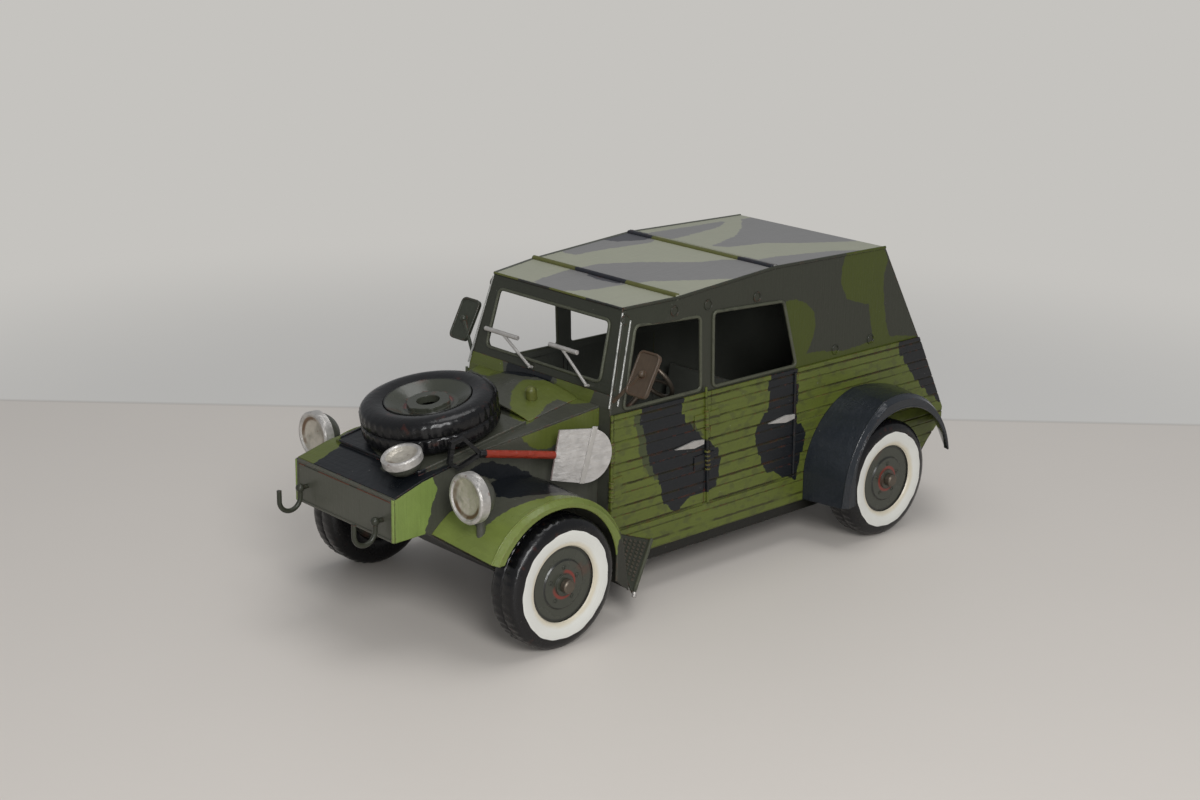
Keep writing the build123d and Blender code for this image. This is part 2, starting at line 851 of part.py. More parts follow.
# pivot y, pivot height, tip y, tip height, blade right end, blade left end
wiper_rows = [
    (30.5, 92.8, 11.5, 104.2, 4.0, 21.3),
    (-5.1, 92.8, -26.5, 102.6, -37.7, -16.2),
]
with BuildPart() as wipers:
    for pivot_y, pivot_height, tip_y, tip_height, right, left in wiper_rows:
        pivot = on_screen(pivot_y, pivot_height, wiper_gap)
        add(rod(on_screen(pivot_y, pivot_height, 0), pivot + screen_out * wiper_radius, wiper_radius))
        add(rod(pivot, on_screen(tip_y, tip_height, wiper_gap), wiper_radius))
        blade_ends = [on_screen(end_y, tip_height, wiper_gap) for end_y in (right, left)]
        add(rod(*blade_ends, blade_radius))
save(wipers.part, "wipers")

# Spare wheel, flat on the raised panel
spare_radius = 28.4
spare_width = 15.5
spare_back = 44.8
spare_rim = 18.0
spare_seat = raised_height + end_gap
spare_plane = deck_plane(nose - spare_back, spare_seat)
spare_section = Plane(origin=spare_plane.origin, x_dir=spare_plane.x_dir, z_dir=-spare_plane.y_dir)
with BuildPart() as spare_tyre:
    with BuildSketch(spare_section):
        with Locations(((spare_rim + spare_radius) / 2, spare_width / 2)):
            Rectangle(spare_radius - spare_rim, spare_width)
        fillet(vertices().sort_by(Axis.X)[-2:], radius=tyre_shoulder)
    revolve(axis=Axis(spare_plane.origin, spare_plane.z_dir))
save(spare_tyre.part, "spare_tyre")

# Dished disc of the spare, with a lobed hub ring round its hole
spare_dish = 4.2
spare_lip = 0.6
spare_flat = 12.0
spare_disc_thickness = 1.4
spare_hole = 4.8
lobe_count = 6
lobe_ring = 6.8
lobe_radius = 2.6
lobe_rise = 1.8
dish_height = spare_width - spare_dish
lip_height = spare_width - spare_lip
disc_front = [
    (spare_hole, dish_height),
    (spare_flat, dish_height),
    (spare_rim - seat_gap, lip_height),
]
disc_back = [(r, z - spare_disc_thickness) for r, z in reversed(disc_front)]
with BuildPart() as spare_disc:
    with BuildSketch(spare_section):
        Polygon(*disc_front, *disc_back, align=None)
    revolve(axis=Axis(spare_plane.origin, spare_plane.z_dir))
    with BuildSketch(spare_plane.offset(dish_height)):
        with PolarLocations(lobe_ring, lobe_count):
            Circle(lobe_radius)
        Circle(lobe_ring + lobe_radius * 0.75)
        Circle(spare_hole, mode=Mode.SUBTRACT)
    extrude(amount=lobe_rise)
save(spare_disc.part, "spare_disc")

# Spade along the hood's left side: blade at the cowl, handle, and a wire grip by the spare wheel
blade_length = 27.0
blade_half = 11.5
shoulder_half = 10.5
blade_thickness = 0.9
handle_radius = 1.6
handle_lap = 2.0
grip_length = 15.5
grip_half = 7.0
grip_end_half = 4.5
grip_wire = 0.9
grip_taper = 1.6
spade_stand_off = 0.6
spade_drop = 19.4
grip_rise = 8.8
grip_back = 26.7
spade_tip = Vector(cowl + blade_thickness - middle, tub_half + spade_stand_off, cowl_height - spade_drop)
spade_end = Vector(nose - grip_back - middle, nose_half + spade_stand_off, deck_front_height + grip_rise)
spade_line = (spade_end - spade_tip).normalized()
spade_plane = Plane(origin=spade_tip, x_dir=spade_line, z_dir=Vector(0, 0, 1).cross(spade_line))
spade_length = (spade_end - spade_tip).length
with BuildPart() as spade:
    with BuildSketch(spade_plane):
        with BuildLine():
            ThreePointArc((blade_half, blade_half), (0, 0), (blade_half, -blade_half))
            Polyline(
                (blade_half, -blade_half),
                (blade_length, -shoulder_half),
                (blade_length, shoulder_half),
                (blade_half, blade_half),
            )
        make_face()
    extrude(amount=blade_thickness)
    add(
        rod(
            spade_tip + spade_line * (blade_length - handle_lap),
            spade_tip + spade_line * (spade_length - grip_length + handle_lap),
            handle_radius,
        )
    )
    with BuildSketch(spade_plane.offset(-grip_wire)):
        for margin, mode in ((0.0, Mode.ADD), (2 * grip_wire, Mode.SUBTRACT)):
            start = spade_length - grip_length + grip_taper * margin
            wide = spade_length - grip_length / 3
            end = spade_length - margin
            Polygon(
                (start, 0),
                (wide, grip_half - margin),
                (end, grip_end_half - margin / 2),
                (end, margin / 2 - grip_end_half),
                (wide, margin - grip_half),
                align=None,
                mode=mode,
            )
    extrude(amount=2 * grip_wire)
save(spade.part, "spade")

# Hatchet on the hood's right side, its head standing above the deck
hatchet_head_length = 13.0
hatchet_head_height = 18.0
hatchet_head_corner = 3.0
hatchet_thickness = 3.0
hatchet_ahead = 41.0
hatchet_top = 89.0
hatchet_tail_ahead = 3.0
hatchet_handle_drop = 14.0
hatchet_tail_drop = 20.0
hood_run = Vector(waist - cowl, cowl_half - waist_half, 0).normalized()
hood_right = Plane(
    origin=(cowl - middle, -cowl_half, 0),
    x_dir=hood_run,
    z_dir=(hood_run.Y, -hood_run.X, 0),
)
handle_stand_off = end_gap + handle_radius
handle_ends = [
    hood_right.from_local_coords(Vector(ahead, hatchet_top - drop, handle_stand_off))
    for ahead, drop in ((hatchet_ahead, hatchet_handle_drop), (hatchet_tail_ahead, hatchet_tail_drop))
]
with BuildPart() as hatchet:
    with BuildSketch(hood_right.offset(end_gap)):
        with Locations((hatchet_ahead, hatchet_top - hatchet_head_height / 2)):
            RectangleRounded(hatchet_head_length, hatchet_head_height, hatchet_head_corner)
    extrude(amount=hatchet_thickness)
    add(rod(*handle_ends, handle_radius))
save(hatchet.part, "hatchet")

# Seats: two folded front seats and a rear bench, each on a plain stand
seat_height = 34.0
seat_back_top = 66.0
seat_sheet = 2.0
seat_length = 24.0
seat_lean = 5.0
seat_tip = 2.0
# middle y, width, front edge behind the cowl
seat_rows = [(21.0, 28.0, 30.0), (-21.0, 28.0, 30.0), (0.0, 78.0, 92.0)]
with BuildPart() as seats:
    for seat_y, width, back_of_cowl in seat_rows:
        front = cowl - back_of_cowl
        seat_line = [
            (front - seat_tip, pan_top),
            (front, seat_height),
            (front - seat_length, seat_height - seat_tip),
            (front - seat_length - seat_lean, seat_back_top),
        ]
        seat_strip = folded_strip(seat_line, seat_sheet, Side.RIGHT, seat_y + width / 2)
        extrude(seat_strip, amount=width, dir=(0, -1, 0))
    add(floor_pan.part, mode=Mode.SUBTRACT)
save(seats.part, "seats")

# Steering wheel on its column, on the left
steering_ahead = 109.0
steering_y = 22.0
steering_height = 85.0
steering_radius = 10.0
steering_tube = 1.0
spoke_radius = 0.8
column_radius = 1.3
column_foot_height = 55.0
steering_centre = Vector(steering_ahead - middle, steering_y, steering_height)
column_foot = Vector(cowl - sheet - middle, steering_y, column_foot_height)
column_line = (column_foot - steering_centre).normalized()
with BuildPart() as steering_wheel:
    with Locations(Plane(origin=steering_centre, z_dir=column_line)):
        Torus(steering_radius, steering_tube)
    for spoke_side in (1, -1):
        spoke_end = steering_centre + Vector(0, spoke_side * steering_radius, 0)
        add(rod(steering_centre, spoke_end, spoke_radius))
    add(rod(steering_centre, column_foot, column_radius))
    add(bulkhead.part, mode=Mode.SUBTRACT)
save(steering_wheel.part, "steering_wheel")

# Axles: a rod through both bearers, with collars inside the wheels and nuts outside them
hub_inset = 0.6
nut_chamfer = 0.6
hub_out = wheel_face - hub_inset
hub_in = wheel_face - tyre_width + hub_inset


def wheel_section(axle):
    """The plane that cuts a wheel through its axis: X is the radius and Y points left."""
    return Plane(origin=(axle - middle, 0, axle_height), x_dir=(1, 0, 0), z_dir=(0, 0, 1))


def wheel_axis(axle):
    return Axis((axle - middle, 0, axle_height), (0, 1, 0))


for name, axle in (("front_axle", front_axle), ("rear_axle", 0)):
    with BuildPart() as axle_rod:
        with BuildSketch(wheel_section(axle)):
            Polygon(
                (0, 0),
                (axle_radius, 0),
                (axle_radius, hub_in - end_gap - collar_length),
                (collar_radius, hub_in - end_gap - collar_length),
                (collar_radius, hub_in - end_gap),
                (axle_radius, hub_in - end_gap),
                (axle_radius, hub_out + end_gap),
                (nut_radius, hub_out + end_gap),
                (nut_radius, hub_out + end_gap + nut_length - nut_chamfer),
                (nut_radius - nut_chamfer, hub_out + end_gap + nut_length),
                (0, hub_out + end_gap + nut_length),
                align=None,
            )
        revolve(axis=wheel_axis(axle))
        mirror(about=Plane.XZ)
    save(axle_rod.part, name)

# Wheels: a tyre ring and a dished disc pair on a hub tube, turning on the axle
disc_dish = 2.2
disc_step_radius = 9.9
disc_step = 0.7
disc_thickness = 1.0
bore_radius = axle_radius + running_gap
disc_edge = rim_radius - seat_gap
for name, axle in (("front", front_axle), ("rear", 0)):
    with BuildPart() as tyre:
        with BuildSketch(wheel_section(axle)):
            with Locations(((rim_radius + tyre_radius) / 2, wheel_face - tyre_width / 2)):
                Rectangle(tyre_radius - rim_radius, tyre_width)
            fillet(vertices().sort_by(Axis.X)[-2:], radius=tyre_shoulder)
        revolve(axis=wheel_axis(axle))
    save_pair(tyre.part, f"tyre_{name}")
    with BuildPart() as disc:
        with BuildSketch(wheel_section(axle)):
            Polygon(
                (bore_radius, hub_in),
                (bore_radius, hub_out),
                (hub_radius, hub_out),
                (hub_radius, wheel_face - disc_dish + disc_step),
                (disc_step_radius, wheel_face - disc_dish + disc_step),
                (disc_step_radius + disc_step, wheel_face - disc_dish),
                (disc_edge, wheel_face - disc_dish),
                (disc_edge, wheel_face - disc_dish - disc_thickness),
                (hub_radius, wheel_face - disc_dish - disc_thickness),
                (hub_radius, wheel_face - tyre_width + disc_dish + disc_thickness),
                (disc_edge, wheel_face - tyre_width + disc_dish + disc_thickness),
                (disc_edge, wheel_face - tyre_width + disc_dish),
                (hub_radius, wheel_face - tyre_width + disc_dish),
                (hub_radius, hub_in),
                align=None,
            )
        revolve(axis=wheel_axis(axle))
    save_pair(disc.part, f"disc_{name}")
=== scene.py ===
from math import atan2, cos, hypot, radians, sin, tau

import bmesh
import bpy
from mathutils import Matrix, Vector


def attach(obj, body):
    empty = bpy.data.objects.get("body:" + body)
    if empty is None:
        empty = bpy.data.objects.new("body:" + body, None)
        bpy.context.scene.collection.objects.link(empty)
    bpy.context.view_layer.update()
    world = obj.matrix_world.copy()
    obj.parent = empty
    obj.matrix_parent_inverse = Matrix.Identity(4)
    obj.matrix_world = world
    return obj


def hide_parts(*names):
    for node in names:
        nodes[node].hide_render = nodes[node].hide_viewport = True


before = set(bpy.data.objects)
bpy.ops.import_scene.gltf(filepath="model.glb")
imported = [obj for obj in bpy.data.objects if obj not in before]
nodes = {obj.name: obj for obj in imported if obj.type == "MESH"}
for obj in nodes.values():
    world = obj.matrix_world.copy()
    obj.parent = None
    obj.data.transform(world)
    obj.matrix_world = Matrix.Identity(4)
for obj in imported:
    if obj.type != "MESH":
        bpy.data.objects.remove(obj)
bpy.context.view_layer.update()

# Places are in millimetres: ahead of the rear axle, left of the middle and above the floor.
MM = 0.001
MIDDLE = 103.45
ROOT = "chassis"
WHEELBASE = 200.0
AXLE_HEIGHT = 27.4
TYRE_RADIUS = 27.4
TYRE_WIDTH = 16.0
TYRE_BORE = 15.8
WHEEL_FACE = 68.1
TUB_HALF = 46.5
TOP_HALF = 45.6
RIB_TOP = 81.2
RIB_PITCH = 4.8
COWL = 157.0
COWL_HEIGHT = 86.4
SCREEN_LEAN = 0.2613
DECK_FRONT = 243.0
DECK_FRONT_HEIGHT = 71.2
DECK_SLOPE = atan2(COWL_HEIGHT - DECK_FRONT_HEIGHT, DECK_FRONT - COWL)
NOSE_FACE = 257.7
FRONT_BOW, FRONT_BOW_HEIGHT = 119.9, 127.8
REAR_BOW, REAR_BOW_HEIGHT = 60.3, 132.3
AHEAD, LEFT, UP = Vector((1, 0, 0)), Vector((0, 1, 0)), Vector((0, 0, 1))
SLAB_BEVEL = 0.12


def at(x, y, z):
    """A point in the frame's metres."""
    return Vector(((x - MIDDLE) * MM, y * MM, z * MM))


def deck(x, y, lift=0.0):
    """A point on the hood's deck, or a lift square off it."""
    z = COWL_HEIGHT - (x - COWL) * sin(DECK_SLOPE) / cos(DECK_SLOPE)
    return at(x + lift * sin(DECK_SLOPE), y, z + lift * cos(DECK_SLOPE))


def top_side_y(x, z):
    """How far out the top's side is: flat, then folded in ahead of the front bow and above it."""
    in_per_ahead, in_per_up = 0.1932, 0.1618
    folded = TOP_HALF - (in_per_ahead * (x - FRONT_BOW) + in_per_up * (z - FRONT_BOW_HEIGHT))
    return min(TOP_HALF, folded)


def linear(red, green, blue):
    """A colour as it looks on screen, 0 to 255 a channel, in the shader's own values."""
    values = []
    for value in (red, green, blue):
        value /= 255
        values.append(value / 12.92 if value <= 0.04045 else ((value + 0.055) / 1.055) ** 2.4)
    return (*values, 1.0)


OLIVE = linear(46, 48, 39)
HOOD_OLIVE = linear(64, 65, 57)
# The nose's olive and green are lighter copies of OLIVE and GREEN: painted light, for the stronger light on
# the front.
LIT_NOSE_OLIVE = linear(74, 75, 66)
GREEN = linear(83, 92, 36)
# A darker copy of the body green for the top: painted shade.
SHADED_TOP_GREEN = linear(59, 67, 16)
# A lighter copy of GREEN for the nose: painted light.
LIT_NOSE_GREEN = linear(112, 130, 68)
FENDER_GREEN = linear(102, 114, 56)
DECK_GREEN = linear(82, 90, 40)
MOSS = linear(62, 66, 36)
BLUE_BLACK = linear(18, 21, 25)
ROOF_PALE = linear(148, 149, 132)
ROOF_LILAC = linear(122, 121, 120)
# The next colour is painted shade, laid along the ribs' grooves.
GROOVE_SHADE = linear(38, 34, 14)
PRIMER = linear(96, 42, 26)
BARE = linear(150, 148, 144)
RED_EDGE = linear(98, 54, 36)
CHIP_RED = linear(118, 84, 72)
SILVER = linear(182, 179, 175)
BLADE_SILVER = linear(190, 187, 184)
PILLAR_SILVER = linear(168, 168, 164)
BEAD_GREY = linear(74, 76, 62)
NUT_GREY = linear(92, 84, 74)
BROWN = linear(70, 58, 46)
BLACK = linear(13, 13, 15)
CREAM = linear(206, 206, 200)
CREAM_YELLOW_AND_SHADE = linear(196, 186, 162)
HANDLE_RED = linear(128, 40, 22)
DISC_GREY = linear(56, 58, 50)
RIM_RED = linear(122, 44, 34)
GLASS_GREY = linear(190, 184, 172)
GLASS_DULL = linear(132, 130, 118)
GLASS_BROWN = linear(96, 68, 42)
# The inside's own dark paint, lightened as painted light for the light that hardly reaches inside.
INSIDE_LIGHTENED = linear(80, 82, 76)
FRINGE = linear(58, 64, 38)
ROOF_DARK = linear(74, 74, 78)
REAR_FENDER_DARK = linear(32, 36, 41)
FENDER_FOOT = linear(44, 44, 38)
RIM_FOOT = linear(60, 60, 52)
PAN_BLACK = linear(18, 18, 14)
MIRROR_OLIVE = linear(50, 53, 44)
BEAD_GREEN = linear(84, 86, 44)
BEAD_DARK = linear(30, 32, 38)
EDGE_GREEN = linear(84, 88, 40)
EDGE_DARK = linear(40, 42, 40)
FLOOR_TONE = linear(207, 201, 194)
FLOOR_FAR = linear(189, 185, 180)
WALL_TONE = linear(208, 206, 202)
WALL_FAR = linear(197, 195, 191)
CORNER_SHADE_TONE = linear(150, 146, 140)

# A patch's ends are kept in the colours of a ramp, which hold places from here on, over this length.
RAMP_LOW = -100
RAMP_LENGTH = 400
# In metres: how soft a patch's edge is, and how much further back the patches are on the right side.
PATCH_EDGE = 0.00012
RIGHT_SIDE_SHIFT = 0.022
# Painted shade lines in each rib's groove: height of the top rib's, how wide and how strong.
RIB_LINES = ((RIB_TOP, 0.75, 0.8), (77.4, 0.5, 0.45))


class Graph:
    """One material, with short calls that add its nodes."""

    def __init__(self, name, gloss=0.5, metal=0.0):
        self.material = bpy.data.materials.new(name)
        self.material.use_nodes = True
        self.tree = self.material.node_tree
        self.tree.nodes.clear()
        self.shader = self.tree.nodes.new("ShaderNodeBsdfPrincipled")
        self.shader.inputs["Specular IOR Level"].default_value = gloss
        self.shader.inputs["Metallic"].default_value = metal
        self.output = self.tree.nodes.new("ShaderNodeOutputMaterial")
        self.tree.links.new(self.shader.outputs[0], self.output.inputs[0])
        self.place = self.node("ShaderNodeTexCoord", {}, "Object")

    def node(self, kind, values, out=0, **settings):
        made = self.tree.nodes.new(kind)
        for key, value in settings.items():
            setattr(made, key, value)
        for key, value in values.items():
            self.put(made.inputs[key], value)
        return made.outputs[out]

    def put(self, socket, value):
        if isinstance(value, bpy.types.NodeSocket):
            self.tree.links.new(value, socket)
        elif socket.type == "VECTOR":
            socket.default_value = value[:3]
        else:
            socket.default_value = value

    def math(self, operation, *values):
        return self.node("ShaderNodeMath", dict(enumerate(values)), operation=operation)

    def vector(self, operation, *values, out=0):
        return self.node("ShaderNodeVectorMath", dict(enumerate(values)), out, operation=operation)

    def axes(self, place):
        split = self.tree.nodes.new("ShaderNodeSeparateXYZ")
        self.put(split.inputs[0], place)
        return split.outputs

    def noise(self, per_metre, detail=2.0):
        """Noise from 0 to 1, with a number of waves a metre, or one for each axis."""
        if not isinstance(per_metre, tuple):
            per_metre = (per_metre,) * 3
        stretched = self.vector("MULTIPLY", self.place, per_metre)
        return self.node("ShaderNodeTexNoise", {"Vector": stretched, "Scale": 1.0, "Detail": detail})

    def step(self, value, low, high):
        """A soft step from 0 at low to 1 at high."""
        sockets = {0: value, 1: low, 2: high, 3: 0.0, 4: 1.0}
        return self.node("ShaderNodeMapRange", sockets, interpolation_type="SMOOTHSTEP")

    def spots(self, per_metre, detail, low, high):
        """Spots: 1 where a noise is past high, 0 where it is short of low."""
        return self.step(self.noise(per_metre, detail), low, high)

    def band(self, value, middle, reach, core):
        """1 within the core on either side of a middle value, and softly 0 at its reach."""
        off = self.math("ABSOLUTE", self.math("SUBTRACT", value, middle))
        return self.step(off, reach, core)

    def mix(self, factor, first, second):
        return self.node("ShaderNodeMix", {0: factor, 6: first, 7: second}, 2, data_type="RGBA")

    def over(self, colour, other, where, amount):
        """Another colour laid over the first, by an amount, where a factor is 1."""
        return self.mix(self.math("MULTIPLY", where, amount), colour, other)

    def scaled(self, value, amount):
        return self.node("ShaderNodeVectorMath", {0: value, 3: amount}, operation="SCALE")

    def shade(self, colour, amount, factor):
        """A colour scaled between 1 - amount and 1 + amount by a factor from 0 to 1."""
        return self.scaled(colour, self.math("MULTIPLY_ADD", factor, 2 * amount, 1 - amount))

    def from_axis(self, place, centre, axis):
        """How far a point is from a centre along an axis, and how far out it is from the axis."""
        offset = self.vector("SUBTRACT", place, centre)
        depth = self.vector("DOT_PRODUCT", offset, axis, out=1)
        across = self.vector("SUBTRACT", offset, self.scaled(axis, depth))
        return depth, self.vector("LENGTH", across, out=1)

    def spans(self, along, across, rows):
        """How far outside a patch a point is, in metres. Rows: place along, then two ends across."""
        first_row, last_row = rows[0][0], rows[-1][0]
        low, high = first_row * MM, last_row * MM
        ramp = self.tree.nodes.new("ShaderNodeValToRGB")
        share = self.node("ShaderNodeMapRange", {0: along, 1: low, 2: high, 3: 0.0, 4: 1.0})
        self.put(ramp.inputs[0], share)
        stops = ramp.color_ramp.elements
        for place, _, _ in rows[1:-1]:
            stops.new((place - first_row) / (last_row - first_row))
        for stop, (_, start, end) in zip(stops, rows):
            stop.color = ((start - RAMP_LOW) / RAMP_LENGTH, (end - RAMP_LOW) / RAMP_LENGTH, 0.0, 1.0)
        ends = self.tree.nodes.new("ShaderNodeSeparateColor")
        self.tree.links.new(ramp.outputs[0], ends.inputs[0])
        zero = (RAMP_LOW - MIDDLE) * MM
        start = self.math("MULTIPLY_ADD", ends.outputs[0], RAMP_LENGTH * MM, zero)
        end = self.math("MULTIPLY_ADD", ends.outputs[1], RAMP_LENGTH * MM, zero)
        sides = ((start, across), (across, end), (low, along), (along, high))
        distances = [self.math("SUBTRACT", *pair) for pair in sides]
        wide = self.math("MAXIMUM", *distances[:2])
        return self.math("MAXIMUM", wide, self.math("MAXIMUM", *distances[2:]))

    def rounded(self, radius):
        """The normal, with edges rounded off."""
        return self.node("ShaderNodeBevel", {"Radius": radius}, samples=4)

    def bump(self, height, strength, distance, **normal):
        sockets = {"Strength": strength, "Distance": distance, "Height": height, **normal}
        return self.node("ShaderNodeBump", sockets)

    def finished(self, colour, roughness, normal):
        """The material, with the shader's colour, roughness and normal connected."""
        for socket, value in (("Base Color", colour), ("Roughness", roughness), ("Normal", normal)):
            self.put(self.shader.inputs[socket], value)
        return self.material


def per_metre(along, across, axis):
    """Waves a metre for brush strokes that run along one axis."""
    return tuple(along if name == axis else across for name in "xyz")


def enamel(
    name, base, patches=(), strokes="x", rough=0.34, wear=0.35, grooves=False, fade=0.12, blotch=None,
    ragged=0.0016, inside=None, gloss=0.35,
):
    """Brushed enamel: patches of colour with ragged ends, strokes, painted shade in the ribs' grooves and
    worn edges.

    A patch is a tint, "side" or "top", and its rows: a height, or a place out to the left, and the
    patch's ends behind and ahead there. Inside is the direction in which the outer face looks, or
    "sides", for pieces painted within in the inside colour: a dark paint, lightened as painted light.
    """
    g = Graph(name, gloss)
    x, y, z = g.axes(g.place)
    cloud = g.noise(55, 3.0)
    mottle = g.noise((190, 190, 260), 4.0)
    brushed = g.noise(per_metre(45, 900, strokes), 3.0)
    sockets = {"Vector": g.place, "Scale": 330.0, "Detail": 3.0, "Roughness": 0.6}
    warp = g.node("ShaderNodeTexNoise", sockets, "Color")
    push = g.axes(g.vector("MULTIPLY_ADD", warp, (2 * ragged,) * 3, (-ragged,) * 3))
    ahead, out, up = (g.math("ADD", *pair) for pair in zip((x, y, z), push))
    if grooves:
        # Patches move a little from rib to rib, and their edges follow the ribs.
        rib = g.math("SNAP", g.math("SUBTRACT", z, RIB_TOP * MM), RIB_PITCH * MM)
        rib_sockets = {"W": g.math("MULTIPLY", rib, 1000.0)}
        rib_noise = g.node("ShaderNodeTexWhiteNoise", rib_sockets, noise_dimensions="1D")
        ahead = g.math("ADD", ahead, g.math("MULTIPLY_ADD", rib_noise, 0.0020, -0.0010))
        rib_middle = g.math("MULTIPLY_ADD", rib, 0.4, (RIB_TOP + RIB_PITCH / 2) * 0.4 * MM)
        up = g.math("ADD", g.math("MULTIPLY", up, 0.6), rib_middle)
    on_right = g.math("LESS_THAN", y, -0.02)
    side_ahead = g.math("ADD", ahead, g.math("MULTIPLY", on_right, RIGHT_SIDE_SHIFT))
    colour = base
    if blotch:
        colour = g.over(colour, blotch, g.step(mottle, 0.50, 0.64), 0.5)
    for tint, view, rows in patches:
        place = (up, side_ahead) if view == "side" else (out, ahead)
        colour = g.mix(g.step(g.spans(*place, rows), PATCH_EDGE, -PATCH_EDGE), colour, tint)
    for amount, factor in ((fade, brushed), (fade, cloud), (fade * 0.6, mottle)):
        colour = g.shade(colour, amount, factor)
    if grooves:
        # Painted shade: dark lines along the ribs' grooves, broken up by noise.
        groove_shade_noise = g.noise((60, 60, 20), 3.0)
        fine = g.noise((240, 240, 700), 3.0)
        for top, reach, strength in RIB_LINES:
            level = g.math("MULTIPLY_ADD", fine, 0.0009, g.math("SUBTRACT", z, (top + 0.45) * MM))
            gap = g.math("PINGPONG", level, RIB_PITCH * MM)
            line = g.step(gap, reach * MM, reach * 0.4 * MM)
            uneven = g.math("MULTIPLY", line, g.step(groove_shade_noise, 0.34, 0.56))
            colour = g.over(colour, GROOVE_SHADE, uneven, strength)
    rounded = g.rounded(0.0006)
    facing = g.node("ShaderNodeNewGeometry", {}, "Normal")
    edge = g.math("SUBTRACT", 1.0, g.vector("DOT_PRODUCT", rounded, facing, out=1))
    worn_spots = g.spots(420, 3.0, 0.62 - 0.3 * wear, 0.74 - 0.3 * wear)
    colour = g.over(colour, PRIMER, g.math("MULTIPLY", g.step(edge, 0.03, 0.16), worn_spots), 0.7)
    colour = g.over(colour, BARE, g.spots(650, 1.0, 0.80, 0.83), wear)
    if inside:
        # Inner faces take the inside colour: dark paint lightened as painted light.
        outward = inside
        if inside == "sides":
            outward = g.node("ShaderNodeCombineXYZ", {1: g.math("SIGN", y)})
        turned = g.vector("DOT_PRODUCT", facing, outward, out=1)
        colour = g.mix(g.step(turned, -0.2, -0.6), colour, g.shade(INSIDE_LIGHTENED, 0.25, cloud))
    roughness = g.math("MULTIPLY_ADD", cloud, 0.22, rough - 0.1)
    height = g.math("ADD", g.math("MULTIPLY", brushed, 0.7), g.noise(330, 3.0))
    return g.finished(colour, roughness, g.bump(height, 0.5, 0.00025, Normal=rounded))


def rough_metal(name, tint=SILVER, stain=BROWN, stained=0.25, rough=0.42, metal=0.55):
    """Silver paint and hand-finished tin, scratched and a little stained."""
    g = Graph(name, metal=metal)
    scratches = g.noise((300, 1800, 700), 3.0)
    cloud = g.noise(240, 4.0)
    colour = g.over(g.shade(tint, 0.22, cloud), stain, g.spots(150, 4.0, 0.55, 0.72), stained)
    roughness = g.math("MULTIPLY_ADD", scratches, 0.3, rough - 0.12)
    height = g.math("ADD", cloud, scratches)
    return g.finished(colour, roughness, g.bump(height, 0.5, 0.0003, Normal=g.rounded(0.0004)))


def lamp_paint(name, centre, aim, radius, rim, mirrored=False):
    """Silver rim, dull face with brown stain next to the rim, and a painted bowl behind.

    The centre is on the lamp's face, and the rim is how far back its silver reaches.
    """
    g = Graph(name)
    place = g.place
    if mirrored:
        x = g.axes(g.place)[0]
        _, y, z = g.axes(g.vector("ABSOLUTE", g.place))
        place = g.node("ShaderNodeCombineXYZ", {0: x, 1: y, 2: z})
    depth, out = g.from_axis(place, centre, aim)
    cloud = g.noise(260, 4.0)
    face = g.shade(GLASS_GREY, 0.18, g.noise(130, 3.0))
    face = g.over(face, GLASS_DULL, g.spots(95, 3.0, 0.48, 0.62), 0.55)
    stain = g.band(out, (radius - 2.9) * MM, 1.3 * MM, 0.3 * MM)
    stain = g.math("MULTIPLY", stain, g.spots(90, 3.0, 0.40, 0.6))
    face = g.over(face, GLASS_BROWN, stain, 0.9)
    on_rim = g.step(out, (radius - 2.2) * MM, (radius - 1.8) * MM)
    front = g.mix(on_rim, face, g.shade(SILVER, 0.4, cloud))
    front = g.over(front, CHIP_RED, g.spots(420, 2.0, 0.68, 0.74), 0.55)
    in_front = g.step(depth, -(rim + 0.3) * MM, -(rim - 0.1) * MM)
    g.put(g.shader.inputs["Metallic"], g.math("MULTIPLY", in_front, 0.6))
    colour = g.mix(in_front, g.shade(HOOD_OLIVE, 0.2, cloud), front)
    height = g.math("ADD", cloud, g.noise(480, 3.0))
    return g.finished(colour, g.math("MULTIPLY_ADD", cloud, 0.25, 0.3), g.bump(height, 0.7, 0.0005))


def tyre_paint(name):
    """Gloss black enamel with thin, red-brown worn places."""
    g = Graph(name, gloss=0.4)
    cloud = g.noise(90, 3.0)
    colour = g.over(g.shade(BLACK, 0.35, cloud), PRIMER, g.spots(170, 5.0, 0.62, 0.74), 0.22)
    colour = g.over(colour, BARE, g.spots(700, 2.0, 0.74, 0.8), 0.25)
    roughness = g.math("MULTIPLY_ADD", cloud, 0.3, 0.12)
    return g.finished(colour, roughness, g.bump(g.noise(420, 3.0), 0.5, 0.0003))


def ring_paint(name, axle):
    """Thick cream-white enamel, yellower in the dish next to the disc, with painted shade there."""
    g = Graph(name)
    _, out = g.from_axis(g.place, at(axle, 0, AXLE_HEIGHT), LEFT)
    uneven = g.noise(140, 3.0)
    # The dish next to the disc: yellower paint, darkened as painted shade where the ring curves in.
    inner = g.step(g.math("MULTIPLY_ADD", uneven, 0.0022, out), 19.6 * MM, 17.6 * MM)
    colour = g.over(g.shade(CREAM, 0.04, uneven), CREAM_YELLOW_AND_SHADE, inner, 0.75)
    colour = g.over(colour, DISC_GREY, g.spots(600, 2.0, 0.77, 0.8), 0.3)
    hoops = g.math("SINE", g.math("MULTIPLY", g.math("MULTIPLY_ADD", uneven, 0.001, out), 5200.0))
    height = g.math("ADD", g.noise(260, 2.0), g.math("MULTIPLY", hoops, 0.2))
    return g.finished(colour, g.math("MULTIPLY_ADD", uneven, 0.2, 0.22), g.bump(height, 0.3, 0.0002))


